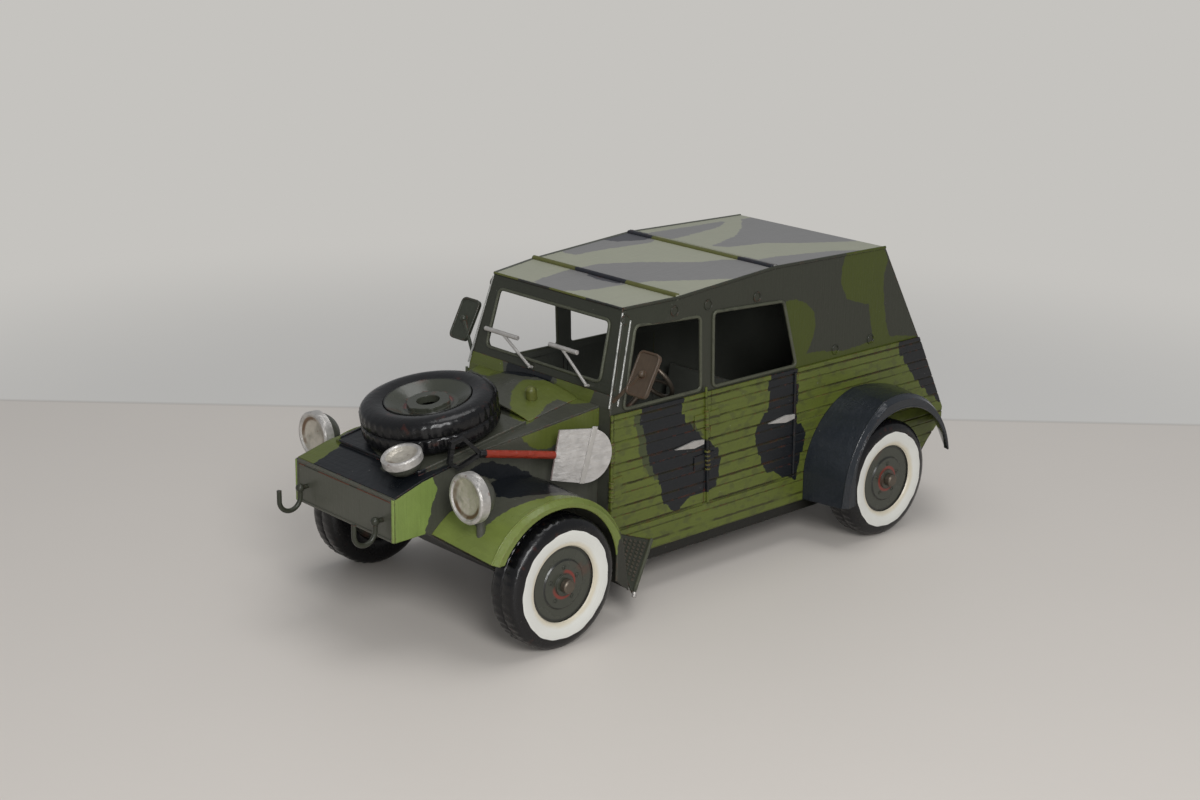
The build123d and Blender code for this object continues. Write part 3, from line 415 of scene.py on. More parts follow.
def disc_paint(name, centre, axis, worn_ring=5.4, rim_line=15.0):
    """Grey-green enamel on a wheel disc, rubbed red-brown round its hub, with its groove in painted shade
    and a dark rim joint.
    """
    g = Graph(name)
    _, out = g.from_axis(g.place, centre, axis)
    cloud = g.noise(110, 3.0)
    rubbed = g.band(out, worn_ring * MM, 1.0 * MM, 0.3 * MM)
    rubbed = g.math("MULTIPLY", rubbed, g.spots(70, 2.0, 0.46, 0.56))
    colour = g.over(g.shade(DISC_GREY, 0.16, cloud), RIM_RED, rubbed, 0.85)
    # Dark lines: the groove at 10.1 mm darkened as painted shade, and a dark joint at the rim line.
    for line, half in ((10.1, 0.5), (rim_line, 0.6)):
        colour = g.over(colour, BLACK, g.band(out, line * MM, half * MM, 0.15 * MM), 0.7)
    colour = g.over(colour, PRIMER, g.spots(85, 3.0, 0.58, 0.7), 0.25)
    roughness = g.math("MULTIPLY_ADD", cloud, 0.2, 0.16)
    normal = g.bump(g.noise(300, 2.0), 0.3, 0.0003, Normal=g.rounded(0.0007))
    return g.finished(colour, roughness, normal)


def piece(name, points, faces, material, body=ROOT, sharp=35.0, bands=None):
    """A mesh object that rides on a body. Bands gives each face's number in a list of materials."""
    mesh = bpy.data.meshes.new(name)
    mesh.from_pydata([tuple(p) for p in points], [], faces)
    build = bmesh.new()
    build.from_mesh(mesh)
    bmesh.ops.recalc_face_normals(build, faces=build.faces)
    build.to_mesh(mesh)
    build.free()
    for one in material if isinstance(material, (list, tuple)) else [material]:
        mesh.materials.append(one)
    if bands:
        mesh.polygons.foreach_set("material_index", bands)
    mesh.polygons.foreach_set("use_smooth", [True] * len(mesh.polygons))
    mesh.set_sharp_from_angle(angle=radians(sharp))
    made = bpy.data.objects.new(name, mesh)
    bpy.context.scene.collection.objects.link(made)
    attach(made, body)
    return made


def grid_faces(rows, columns, close_rows, start=0):
    """Faces between the points of rings of points, which lie row after row."""
    faces = []
    for r in range(rows if close_rows else rows - 1):
        here, after = start + r * columns, start + (r + 1) % rows * columns
        for c in range(columns):
            c2 = (c + 1) % columns
            faces.append([here + c, here + c2, after + c2, after + c])
    return faces


def tube_mesh(line, radius, closed=False, sides=10, start=0):
    """Points and faces of a round wire along a line."""
    count = len(line)
    normal = None
    points = []
    for i, here in enumerate(line):
        before = line[(i - 1) % count] if closed or i else here
        after = line[(i + 1) % count] if closed or i < count - 1 else here
        run = (after - before).normalized()
        if normal is None:
            normal = run.orthogonal().normalized()
        normal = (normal - run * normal.dot(run)).normalized()
        other = run.cross(normal)
        for k in range(sides):
            angle = tau * k / sides
            points.append(here + normal * radius * MM * cos(angle) + other * radius * MM * sin(angle))
    faces = grid_faces(count, sides, closed, start)
    if not closed:
        faces.append([start + k for k in range(sides)])
        faces.append([start + (count - 1) * sides + k for k in range(sides)])
    return points, faces


def wires(name, lines, radius, material, body=ROOT, closed=False, sides=10):
    """Several round wires as one piece."""
    points, faces = [], []
    for line in lines:
        more, their_faces = tube_mesh(line, radius, closed, sides, len(points))
        points += more
        faces += their_faces
    return piece(name, points, faces, material, body)


def rounded(corners, radius, steps=5, closed=True):
    """A line through corners, each turned with a small curve."""
    line = []
    count = len(corners)
    for i, corner in enumerate(corners):
        if not closed and i in (0, count - 1):
            line.append(corner)
            continue
        before = corners[(i - 1) % count]
        after = corners[(i + 1) % count]
        start = corner + (before - corner).normalized() * radius * MM
        end = corner + (after - corner).normalized() * radius * MM
        for s in range(steps + 1):
            t = s / steps
            line.append(start * (1 - t) ** 2 + corner * 2 * t * (1 - t) + end * t * t)
    return line


def slabs(name, outlines, pushes, material, body=ROOT):
    """Flat plates, each an outline and a push through its thickness, as one piece."""
    points, faces = [], []
    for outline, push in zip(outlines, pushes):
        start, count = len(points), len(outline)
        points += list(outline) + [p + push for p in outline]
        faces.append([start + k for k in range(count)])
        faces.append([start + count + k for k in range(count)])
        faces += grid_faces(2, count, False, start)
    made = piece(name, points, faces, material, body)
    edge = made.modifiers.new("edge", "BEVEL")
    edge.width = SLAB_BEVEL * MM
    edge.segments = 2
    return made


def hoop(centre, normal, radius, steps=20):
    """Points round a circle."""
    first = normal.orthogonal().normalized()
    second = normal.normalized().cross(first)
    angles = [tau * k / steps for k in range(steps)]
    return [centre + (first * cos(a) + second * sin(a)) * radius * MM for a in angles]


def crossing(x, half, z):
    """A straight line across the car, from right to left."""
    return [at(x, -half, z), at(x, half, z)]


def flip(point):
    return Vector((point.x, -point.y, point.z))


def both_sides(lines):
    return lines + [[flip(p) for p in line] for line in lines]


# Paint, patch by patch. Side rows: height, then the patch's ends behind and ahead.
# Top rows: out to the left, then the patch's ends behind and ahead.
side_dark = [
    [(34, 116, 118), (37, 109.5, 123.5), (40, 92.6, 125.5), (43.3, 92.4, 127), (51.3, 91, 129.1),
     (57.5, 92.7, 133.4), (61.4, 99.5, 134.2), (64, 102.8, 135.5), (68.5, 109, 137.5), (72, 113.5, 138.7),
     (75.3, 115.3, 139.8), (84, 115, 140)],
    [(30.5, 39.8, 41), (32.1, 39.5, 45), (35.9, 39, 53), (38.8, 38.5, 59.9), (44, 37.4, 65.1),
     (51.3, 35.2, 67.8), (54, 36, 68.4), (58.2, 40.8, 68.8), (63.1, 42.3, 66.3), (66.5, 42.5, 62.8),
     (71.7, 42.6, 62.1), (84, 43.2, 60.5)],
    [(48, -70, -63), (53, -70, -55), (63.5, -70, -42.4), (73, -70, -32.3), (82.3, -70, -27.6),
     (84, -70, -29)],
]
side_fringe = [
    [(50, 127, 131), (57, 131, 136.5), (66, 134, 141), (75, 137, 143.5), (82, 138, 143)],
    [(64.5, 101, 112), (67, 106, 114), (72, 111, 116)],
]
top_green = [
    [(88, 37, 44), (95, 33.4, 46.8), (101.5, 31.2, 48.5), (107.8, 33, 50.5), (112.9, 39, 51.8),
     (115.6, 46, 52.5)],
    [(82, -46, 46), (84.6, -40, 42), (86.2, -30, 8), (87.2, -24, -8)],
    [(84, 0, 46), (86.4, 12, 45), (88.8, 30, 44)],
    [(83, -30, -10), (85.5, -22.5, -10.5), (95.1, -18.6, -7.8), (105.7, -16.1, -4.8), (107.6, -15.9, 2.5),
     (110, -15.4, 10.5), (117.8, -15, 15.4), (124.5, -17.2, 15.3), (133, -14, 13)],
]
roof_lilac = [
    [(-20, 124, 128), (-17, 107, 144.5), (-5.1, 92.9, 148), (1.1, 88, 148), (10.5, 80, 137.1),
     (15.2, 75.9, 120), (20, 67, 111), (27.7, 60.3, 103), (34.8, 60.3, 95.8), (46, 60.3, 82.6)],
    [(-46, 60.3, 104), (-35.8, 60.3, 103.9), (-33.3, 60.3, 90.9), (-30, 60.3, 81.6), (-27, 62, 74),
     (-25, 66, 70)],
    [(-39, 5, 55), (-37, 5.1, 57), (-32, 14, 59), (-28.9, 21, 60.3), (-26, 36, 60.3), (-23, 52, 58)],
    [(-38, -15, -7), (-33.5, -15, -3), (-22, -15, 10), (-11, -15, 25.9), (-1.2, -15, 51.5),
     (5.1, -15, 46.2), (8, -15, 26), (17.3, -15, 12.3), (29, -15, -12)],
    [(31, 44, 54), (33, 35, 60.3), (37.1, 14.3, 60.3), (44.1, 0.2, 60.3), (46, 3, 60.3)],
]
roof_dark = [
    [(-46, 60.3, 78), (-38, 60.3, 76), (-30, 61, 66)],
    [(-8, 119, 122), (0, 118.5, 124), (12, 118.5, 122)],
]
deck_green = [
    [(-1.5, 162.5, 165.5), (3, 160, 173.4), (8, 157, 178.5), (14.1, 155, 183.9), (18.6, 154, 186.6),
     (20.6, 153, 187), (21.6, 171, 187), (27, 182, 187.5)],
    [(20, 152, 164.7), (29, 152, 161.4), (34, 152, 156)],
    [(-48, 150, 160), (-33.7, 153, 162.9), (-24.6, 155, 162.8), (-21, 158, 160)],
    [(-37, 226, 263), (-34.8, 230.8, 263), (-28.8, 237, 263), (-22.8, 244, 263), (-21, 259, 263)],
]
deck_dark_and_spare_shade = [
    [(-23.4, 251, 254), (-22, 244.4, 263), (-5.7, 244.4, 263), (12.3, 246.5, 263), (20, 243, 263),
     (26.5, 240.2, 263), (30.5, 226, 263), (33, 224, 263)],
    # This row set is painted shade: a dark patch on the raised panel beside the spare wheel.
    [(-27, 229, 243), (-10, 237, 246), (8, 244, 247)],
    [(-21, 152, 159.6), (-7, 152, 160.5), (6.7, 152, 156.7), (11, 152, 154)],
]
hood_side_green = [
    [(47, 242, 263), (50.5, 241.8, 263), (56, 238.9, 263), (60, 238.3, 263), (64.8, 235.8, 263),
     (69.7, 237.3, 263), (73, 239, 263)],
    [(72, 180, 183), (73.1, 178.4, 187), (74.8, 175, 190.3), (77.2, 170, 193), (78, 150, 193.4),
     (79.9, 150, 195), (90, 150, 200)],
]
hood_side_dark = [
    [(44, 178, 196), (56, 184, 200), (63.3, 190.5, 206), (67.1, 197, 216), (69, 202, 220),
     (71.5, 208, 213)],
]
fender_green = [
    [(29, 233, 264), (31.6, 228.4, 264), (43.8, 229.2, 264), (49.9, 228.2, 264), (53.6, 218, 264),
     (56, 209, 264), (58, 200, 264), (59.5, 190, 264), (61, 172, 264), (62.2, 150, 264), (66, 150, 264)],
]
fender_green += [[(-y, back, front) for y, back, front in rows[::-1]] for rows in fender_green]
fender_dark = [
    [(29, 178, 207), (38, 180, 212), (42.2, 181, 214.2), (47.7, 182, 212.2), (52, 184, 206),
     (55.5, 190, 200)],
]
tail_dark = [
    [(6, -80, -74), (14, -80, -66), (24, -80, -56), (34, -80, -40), (48, -80, -36)],
    [(-48, -60, -20), (-40, -58, -20), (-33, -50, -20)],
]
fender_foot = [
    [(0, 100, 172.5), (29, 100, 170.5), (38, 100, 168.6), (41.5, 100, 166)],
]
back_green = [
    [(-30, -60, 0), (-16, -60, 0), (-10, -60, -26)],
    [(22, -60, 0), (34, -60, 0), (40, -60, -30)],
]


def patches(tint, view, shapes):
    return [(tint, view, rows) for rows in shapes]


def stripes(tint, *ends):
    """Patches over all that is between two places, right and left, for thin crosswise pieces."""
    back, front = RAMP_LOW, RAMP_LOW + RAMP_LENGTH
    return patches(tint, "top", [[(end, back, front) for end in pair] for pair in ends])


paint_side = enamel(
    "camouflage_side", GREEN, patches(FRINGE, "side", side_fringe) + patches(BLUE_BLACK, "side", side_dark),
    grooves=True, blotch=MOSS, fade=0.14, ragged=0.0012, inside="sides",
)
# The top's green patches are a darker copy of the body green: painted shade.
paint_top = enamel(
    "camouflage_top", OLIVE, patches(SHADED_TOP_GREEN, "side", top_green), strokes="z", wear=0.3, fade=0.06,
    ragged=0.0010, inside="sides",
)
paint_roof = enamel(
    "camouflage_roof", ROOF_PALE,
    patches(ROOF_LILAC, "top", roof_lilac) + patches(ROOF_DARK, "top", roof_dark),
    rough=0.42, fade=0.05, wear=0.2, inside=(0, 0, 1),
)
paint_tail = enamel(
    "camouflage_tail", GREEN, patches(BLUE_BLACK, "top", tail_dark), blotch=MOSS, strokes="z",
    inside=(-1, 0, 0),
)
# The top's back panel takes the same darker green: painted shade.
paint_back = enamel(
    "camouflage_back", OLIVE, patches(SHADED_TOP_GREEN, "top", back_green), strokes="z", fade=0.06,
    inside=(-1, 0, 0),
)
# Hood: its blue-black patches include painted shade beside the spare wheel.
paint_hood = enamel(
    "camouflage_hood", HOOD_OLIVE,
    patches(BLUE_BLACK, "top", deck_dark_and_spare_shade) + patches(DECK_GREEN, "top", deck_green),
    strokes="y", rough=0.3, inside=(0, 0, 1),
)
# The front of the hood's side takes the nose's lighter green: painted light.
paint_hood_side = enamel(
    "camouflage_hood_side", HOOD_OLIVE,
    patches(BLUE_BLACK, "side", hood_side_dark) + patches(LIT_NOSE_GREEN, "side", hood_side_green[:1])
    + patches(DECK_GREEN, "side", hood_side_green[1:]),
    strokes="z", inside="sides",
)
paint_front_fender = enamel(
    "camouflage_front_fender", HOOD_OLIVE,
    patches(BLUE_BLACK, "top", fender_dark) + patches(FENDER_GREEN, "top", fender_green)
    + patches(FENDER_FOOT, "side", fender_foot),
    strokes="y", rough=0.28,
)
paint_rear_fender = enamel(
    "dark_rear_fender", REAR_FENDER_DARK, strokes="x", rough=0.17, wear=0.15, fade=0.2, gloss=0.5
)
paint_fender_rim = enamel(
    "green_fender_rim", FENDER_GREEN, patches(RIM_FOOT, "side", fender_foot), strokes="x", wear=0.5,
    rough=0.22,
)
paint_olive = enamel("dark_olive", OLIVE, strokes="z", wear=0.5)
# The nose plate's olive is a lighter copy of the olive: painted light.
paint_nose = enamel("lit_nose_olive", LIT_NOSE_OLIVE, strokes="z", wear=0.4, fade=0.08)
paint_pan = enamel("pan_black", PAN_BLACK, strokes="x", wear=0.3)
paint_frame = enamel("screen_frame_olive", OLIVE, strokes="y", wear=0.5, rough=0.3, fade=0.08)
paint_mirror = enamel(
    "mirror_enamel", BROWN, stripes(MIRROR_OLIVE, (-80, -20)), strokes="z", wear=0.5, fade=0.2
)
# Seats: the inside colour, dark paint lightened as painted light.
paint_inside_lightened = enamel("inside_lightened", INSIDE_LIGHTENED, strokes="y", wear=0.2, rough=0.4)
paint_green = enamel("green_bead", EDGE_GREEN, strokes="x", wear=0.6, blotch=OLIVE)
paint_bead_front = enamel(
    "roof_bead_front", BEAD_GREEN, stripes(BEAD_DARK, (-17, 15)), strokes="y", wear=0.4
)
paint_bead_rear = enamel(
    "roof_bead_rear", BEAD_GREEN, stripes(BEAD_DARK, (-47, -29), (25, 47)), strokes="y", wear=0.4
)
paint_bead_edge = enamel(
    "roof_edge_bead", EDGE_GREEN, stripes(EDGE_DARK, (-24, -4), (19, 41)), strokes="y"
)
# The nose's beads take the lighter green: painted light.
paint_lit_nose_green = enamel("lit_nose_green_bead", LIT_NOSE_GREEN, strokes="x", wear=0.5)
paint_red_edge = enamel("worn_red_edge", RED_EDGE, stripes(OLIVE, (-26, -17), (4, 9)), strokes="y")
silver = rough_metal("silver_paint")
bead_metal = rough_metal("worn_bead", BEAD_GREY, OLIVE, stained=0.7, rough=0.4, metal=0.2)
nut_metal = rough_metal("nut_metal", NUT_GREY, PRIMER, stained=0.4, rough=0.36, metal=0.6)
pillar_metal = rough_metal("pillar_edge", PILLAR_SILVER, OLIVE, stained=0.9, rough=0.3, metal=0.5)


def assign(node_name, material):
    for slot in nodes[node_name].material_slots:
        slot.material = material


# A star in a node's name stands for left and right.
for names, material in (
    ("body_side_* door_front_* door_rear_*", paint_side),
    ("top_side_*", paint_top),
    ("rear_panel", paint_tail),
    ("top_rear", paint_back),
    ("roof_panel", paint_roof),
    ("hood_top tank_cover bulkhead", paint_hood),
    ("fuel_cap", paint_green),
    ("hood_side_*", paint_hood_side),
    ("nose_plate", paint_nose),
    ("windscreen_frame", paint_frame),
    ("floor_pan", paint_pan),
    ("front_fender_*", paint_front_fender),
    ("rear_fender_*", paint_rear_fender),
    ("tow_hooks step_plates", paint_olive),
    ("mirrors", paint_mirror),
    ("seats", paint_inside_lightened),
    ("steering_wheel front_axle rear_axle", nut_metal),
    ("wipers door_handles hatchet", silver),
):
    for name in names.split():
        for side in ("left", "right") if "*" in name else ("",):
            assign(name.replace("*", side), material)

# Lamps: the two on the fenders, and the small one tipped up on the nose
spot_tilt = radians(72)
spot_aim = Vector((cos(spot_tilt), 0, sin(spot_tilt)))
spot_centre = deck(242.6, 21.1) + spot_aim * 9.0 * MM
headlamp_centre = at(237.4, 50.8, 67.3)
assign("headlamps", lamp_paint("headlamp_paint", headlamp_centre, AHEAD, 10.2, 4.4, mirrored=True))
assign("spot_lamp", lamp_paint("spot_lamp_paint", spot_centre, spot_aim, 8.3, 3.4))

# Spade: silver blade, red-brown handle, black grip
blade_end = 27.3 * MM
grip_length = 15.0 * MM
spade_start = at(157.9, 47.1, 67.0)
spade_line = at(231.0, 33.0, 80.0) - spade_start
grip_start = spade_line.length - grip_length
spade_line.normalize()
g = Graph("spade_paint")
reach, _ = g.from_axis(g.place, spade_start, spade_line)
cloud = g.noise(260, 4.0)
in_handle = g.step(reach, blade_end - 0.5 * MM, blade_end)
tint = g.mix(in_handle, g.shade(BLADE_SILVER, 0.34, cloud), g.shade(HANDLE_RED, 0.22, cloud))
ragged_reach = g.math("MULTIPLY_ADD", cloud, 0.004, reach)
tint = g.mix(g.step(ragged_reach, grip_start, grip_start + 0.3 * MM), tint, BLACK)
in_blade = g.step(reach, blade_end, blade_end - 0.5 * MM)
g.put(g.shader.inputs["Metallic"], g.math("MULTIPLY", in_blade, 0.45))
bump = g.bump(g.noise((300, 240, 700), 4.0), 0.8, 0.0009)
assign("spade", g.finished(tint, g.math("MULTIPLY_ADD", cloud, 0.3, 0.22), bump))

# Tyres: rings with notched tread in two bands. Rows: radius, depth from the outer face, notch share.
tyre_rows = [
    (15.8, 2.8, 0), (15.8, 1.7, 0), (16.3, 1.0, 0), (18.0, 0.5, 0), (20.4, 0.12, 0), (22.5, 0.05, 0),
    (24.4, 0.45, 0), (25.9, 1.1, 0), (26.7, 1.9, 0.1), (27.1, 2.7, 0.6), (27.4, 3.3, 1), (27.4, 7.1, 1),
    (27.2, 7.5, 0.6), (26.7, 7.9, 0), (26.7, 8.1, 0), (27.2, 8.5, 0.6), (27.4, 8.9, 1), (27.4, 12.7, 1),
    (27.1, 13.3, 0.6), (26.7, 14.1, 0.1), (25.9, 14.9, 0), (24.4, 15.5, 0), (22.5, 15.9, 0),
    (18.0, 15.5, 0), (16.3, 15.0, 0), (15.8, 14.3, 0), (15.8, 13.2, 0),
]
ring_last_row = 5
tread_middle_row = len(tyre_rows) // 2
blocks = 44
block_steps = (0.0, 0.0, 0.1, 0.9, 1.0, 0.9)


def tyre(
    name, node_name, body, centre, axis, notch, materials, bore=TYRE_BORE, grow=0.0, width=TYRE_WIDTH
):
    """A tyre round an axis that points to its outer face.

    The materials are the tyre's and its outer ring's, or None without one. Grow adds to the radius
    of its tread, and bore is its inner radius.
    """
    black, white = materials
    bore_reach = 8
    first = axis.orthogonal().normalized()
    second = axis.cross(first)
    columns = blocks * len(block_steps)
    points = []
    for row, (radius, depth, share) in enumerate(tyre_rows):
        inner_band = row > tread_middle_row
        shift = len(block_steps) // 2 if inner_band else 0
        share_out = min(1.0, (radius - TYRE_BORE) / bore_reach)
        r = radius + (bore - TYRE_BORE) * (1 - share_out) + grow * share_out
        ahead = axis * (0.5 - depth / TYRE_WIDTH) * width * MM
        for k in range(columns):
            block = (k + shift) // len(block_steps)
            angle = tau * k / columns
            uneven = 1 + 0.35 * sin(block * 5.7 + inner_band)
            cut = notch * share * block_steps[(k + shift) % len(block_steps)] * uneven
            wave = 0.0
            if white and row == ring_last_row:
                wave = 0.16 * sin(angle * 7 + 1.3) + 0.1 * sin(angle * 19)
            out = first * cos(angle) + second * sin(angle)
            points.append(centre + ahead + out * (r + wave - cut) * MM)
    faces = grid_faces(len(tyre_rows), columns, True)
    bands = None
    if white:
        bands = [1 if 1 <= face // columns < ring_last_row else 0 for face in range(len(faces))]
    used = [black, white] if white else [black]
    made = piece(name, points, faces, used, body, 28.0, bands)
    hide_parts(node_name)


tyre_black = tyre_paint("tyre_black")
dimple_count = 5
dimple_circle = 7.3
for end, axle in (("front", WHEELBASE), ("rear", 0.0)):
    white = ring_paint(f"ring_white_{end}", axle)
    disc_material = disc_paint(f"disc_{end}", at(axle, 0, AXLE_HEIGHT), LEFT)
    for side, facing in (("left", 1), ("right", -1)):
        wheel = f"{end}_{side}"
        body = f"wheel_{wheel}"
        hub = at(axle, facing * (WHEEL_FACE - TYRE_WIDTH / 2), AXLE_HEIGHT)
        axis = LEFT * facing
        tyre(f"tyre_detail_{wheel}", f"tyre_{wheel}", body, hub, axis, 0.24, (tyre_black, white))
        assign(f"disc_{wheel}", disc_material)
        dimples = []
        for k in range(dimple_count):
            angle = tau * (k + 0.25) / dimple_count
            x, z = axle + dimple_circle * cos(angle), AXLE_HEIGHT + dimple_circle * sin(angle)
            dimples.append(hoop(at(x, facing * (WHEEL_FACE - 1.45), z), axis, 0.75, 12))
        wires(f"disc_dimples_{wheel}", dimples, 0.28, disc_material, body, True, 6)

# Spare wheel, lying on the hood's raised panel
spare_width = 15.5
spare_up = Vector((sin(DECK_SLOPE), 0, cos(DECK_SLOPE)))
spare_middle = deck(212.9, 0, 1.5 + spare_width / 2)
tyre(
    "spare_tyre_detail", "spare_tyre", ROOT, spare_middle, spare_up, 0.32, (tyre_black, None), bore=18.0,
    grow=1.0, width=spare_width,
)
spare_paint = disc_paint("spare_disc_paint", spare_middle, spare_up, 9.8, 17.8)
assign("spare_disc", spare_paint)
spare_lip = hoop(spare_middle + spare_up * 6.0 * MM, spare_up, 17.3, 64)
wires("spare_disc_lip", [spare_lip], 0.5, spare_paint, closed=True, sides=8)

# Windows: rolled wire beads round the openings of the top's sides
front_window = [(141.6, 118.7), (106.2, 117.6), (104.5, 85.0), (150.0, 85.0)]
rear_window = [(98.3, 118.2), (54.1, 116.1), (43.7, 85.0), (97.1, 85.0)]
bead_lines = []
for opening in (front_window, rear_window):
    corners = [at(x, top_side_y(x, z) + 0.2, z) for x, z in opening]
    bead_lines.append(rounded(corners, 2.6))
wires("window_beads", both_sides(bead_lines), 0.75, bead_metal, closed=True)

# Windscreen: a bead round the opening
screen_corners = []
for y, z in ((36.6, 95.4), (35.2, 120.4), (-35.2, 120.4), (-36.6, 95.4)):
    x = COWL - SCREEN_LEAN * (z - COWL_HEIGHT)
    screen_corners.append(at(x + 0.1, y, z))
wires("windscreen_bead", [rounded(screen_corners, 3.0)], 0.7, bead_metal, closed=True)

# Worn silver edges of the screen's pillars
pillars = [
    [at(157.5, 45.4, 86.6), at(147.0, 41.1, 124.6)],
    [at(153.2, 45.9, 87.0), at(143.4, 42.1, 121.0)],
]
wires("pillar_edges", both_sides(pillars), 0.42, pillar_metal, sides=8)

# Door seams: rods, and the hinges' knuckles, collars and leaves. Rows: the place ahead and height of
# a seam's top and of its foot, then its hinges' heights.
rods, knuckles, collars, leaves, pushes = [], [], [], [], []
for (x_top, z_top), (x_foot, z_foot), hinge_heights in (
    ((102.3, 86.0), (98.6, 33.0), (71.3, 52.8)),
    ((157.2, 84.0), (156.4, 35.0), (68.0, 51.0)),
):
    rods.append([at(x, TUB_HALF + 0.4, z) for x, z in ((x_top, z_top), (x_foot, z_foot))])
    lean = (x_top - x_foot) / (z_top - z_foot)
    for hinge in hinge_heights:
        heights = [hinge + up for up in (4.2, -4.2, -4.0, -2.0, 0.0, 2.0, 4.0)]
        points = [at(x_foot + lean * (z - z_foot), TUB_HALF + 0.6, z) for z in heights]
        knuckles.append(points[:2])
        collars += [hoop(point, UP, 0.95, 10) for point in points[2:]]
rods.append([at(44.9, TUB_HALF + 0.3, 82.0), at(43.0, TUB_HALF + 0.3, 34.0)])
wires("door_seam_rods", both_sides(rods), 0.62, paint_side)
wires("hinge_knuckles", both_sides(knuckles), 1.15, paint_side)
wires("hinge_collars", both_sides(collars), 0.5, paint_green, closed=True, sides=6)
for x_front, x_back, z, tall in (
    (108.4, 92.9, 71.3, 2.8), (107.8, 95.4, 52.8, 2.8), (155.9, 150.5, 51.8, 4.4)
):
    corners = ((x_front, tall), (x_back, tall + 0.6), (x_back, -tall), (x_front, -tall - 0.6))
    for facing in (1, -1):
        leaves.append([at(x, facing * TUB_HALF, z + dz) for x, dz in corners])
        pushes.append(LEFT * facing * 0.45 * MM)
slabs("hinge_leaves", leaves, pushes, paint_side)

# Ring buttons on the top's sides
buttons = []
for x, z in ((146.0, 121.6), (121.5, 122.2), (101.5, 121.7), (71.1, 120.5), (16.8, 87.6), (-8.0, 88.4)):
    centre = at(x, top_side_y(x, z) + 0.12, z)
    buttons.append(hoop(centre, Vector((0, 1, 0)), 2.1))
wires("ring_buttons", both_sides(buttons), 0.36, paint_top, closed=True, sides=6)

# Fender lips: angles about the axle and shares of the tyre's radius, as in the part's source
front_arch = [(193, 1.13), (172, 1.117), (125, 1.125), (83, 1.145), (49, 1.185), (27, 1.2)]
front_shoulder = [(199, 1.51), (166, 1.335), (125, 1.265), (83, 1.26), (50, 1.33), (24.5, 1.36)]
rear_arch = [(-14, 0.97), (12, 0.985), (46, 1.105), (80, 1.195), (118, 1.32), (168, 1.5)]
rear_shoulder = [(-13, 1.2), (9, 1.13), (45, 1.19), (80, 1.42), (115, 1.5), (171, 1.56)]


def arc_through(start, middle_point, end, steps=14):
    """Points on the circle through three points of a flat drawing."""
    ax, ay, bx, by, cx, cy = *start, *middle_point, *end
    d = 2 * (ax * (by - cy) + bx * (cy - ay) + cx * (ay - by))
    a2, b2, c2 = ax * ax + ay * ay, bx * bx + by * by, cx * cx + cy * cy
    ux = (a2 * (by - cy) + b2 * (cy - ay) + c2 * (ay - by)) / d
    uy = (a2 * (cx - bx) + b2 * (ax - cx) + c2 * (bx - ax)) / d
    radius = hypot(ax - ux, ay - uy)
    first = atan2(ay - uy, ax - ux)
    through = (atan2(by - uy, bx - ux) - first) % tau
    last = (atan2(cy - uy, cx - ux) - first) % tau
    if through > last:
        last -= tau
    angles = [first + last * s / steps for s in range(steps + 1)]
    return [(ux + radius * cos(a), uy + radius * sin(a)) for a in angles]


def fender_line(axle, rows, y, lift):
    """The line of a fender's edge, foot to tip, lifted off it away from the axle."""
    corners = []
    for angle, share in rows:
        reach = share * TYRE_RADIUS + lift
        turn = radians(angle)
        corners.append((axle + reach * cos(turn), AXLE_HEIGHT + reach * sin(turn)))
    foot, start, haunch, crown, shoulder, tip = corners
    flat = [foot] + arc_through(start, haunch, crown) + arc_through(crown, shoulder, tip)[1:]
    return [at(x, y, z) for x, z in flat]


for end, axle, radius, material, edges in (
    ("front", WHEELBASE, 0.5, paint_fender_rim, ((front_arch, 64.6, 0.3), (front_shoulder, 62.4, -0.2))),
    ("rear", 0.0, 0.55, paint_rear_fender, ((rear_arch, 69.6, 0.3), (rear_shoulder, 67.4, -0.3))),
):
    lips = [fender_line(axle, rows, y, lift) for rows, y, lift in edges]
    wires(f"{end}_fender_lips", both_sides(lips), radius, material)

# Roof: the folded side rims, the two cross beads and the front edge
roof_rim = [
    (146.6, 40.7, 126.2), (FRONT_BOW, TOP_HALF, FRONT_BOW_HEIGHT), (REAR_BOW, TOP_HALF, REAR_BOW_HEIGHT),
    (-14.5, TOP_HALF, 131.1),
]
rim_lines = both_sides([[at(x, y, z - 0.2) for x, y, z in roof_rim]])
wires("roof_side_rims", rim_lines, 0.7, paint_top)
wires("roof_bead_front", [crossing(FRONT_BOW, 45.4, 128.3)], 1.2, paint_bead_front)
# Three wires side by side make the rear bead wide without rising past the CAD's roof.
rear_bead = [crossing(x, 45.4, 132.2) for x in (59.7, 60.6, 61.5)]
wires("roof_bead_rear", rear_bead, 1.16, paint_bead_rear)
wires("roof_front_edge", [crossing(146.9, 40.4, 126.2)], 0.5, paint_bead_edge)

# Hood and nose: the raised panel's rim, and the beads of the nose's corners, frame and worn edge
panel_corners = ((186.5, 27.0), (241.4, 27.0), (241.4, -27.0), (186.5, -27.0))
panel_rim = rounded([deck(x, y, 1.2) for x, y in panel_corners], 2.0, closed=False)
wires("hood_panel_rim", [panel_rim], 0.55, paint_hood)
nose_corners = [[at(NOSE_FACE, 32.1, 66.4), at(NOSE_FACE, 32.1, 49.0)]]
wires("nose_corner_beads", both_sides(nose_corners), 0.7, paint_lit_nose_green)
nose_frame = [at(NOSE_FACE, y, z) for y, z in ((31.4, 49.4), (31.4, 66.2), (-31.4, 66.2), (-31.4, 49.4))]
wires("nose_frame_beads", [nose_frame + nose_frame[:1]], 0.55, paint_nose)
nose_edge = [at(NOSE_FACE, y, 64.9) for y in (30.4, -30.4)]
wires("nose_red_line", [nose_edge], 0.24, paint_red_edge, sides=6)

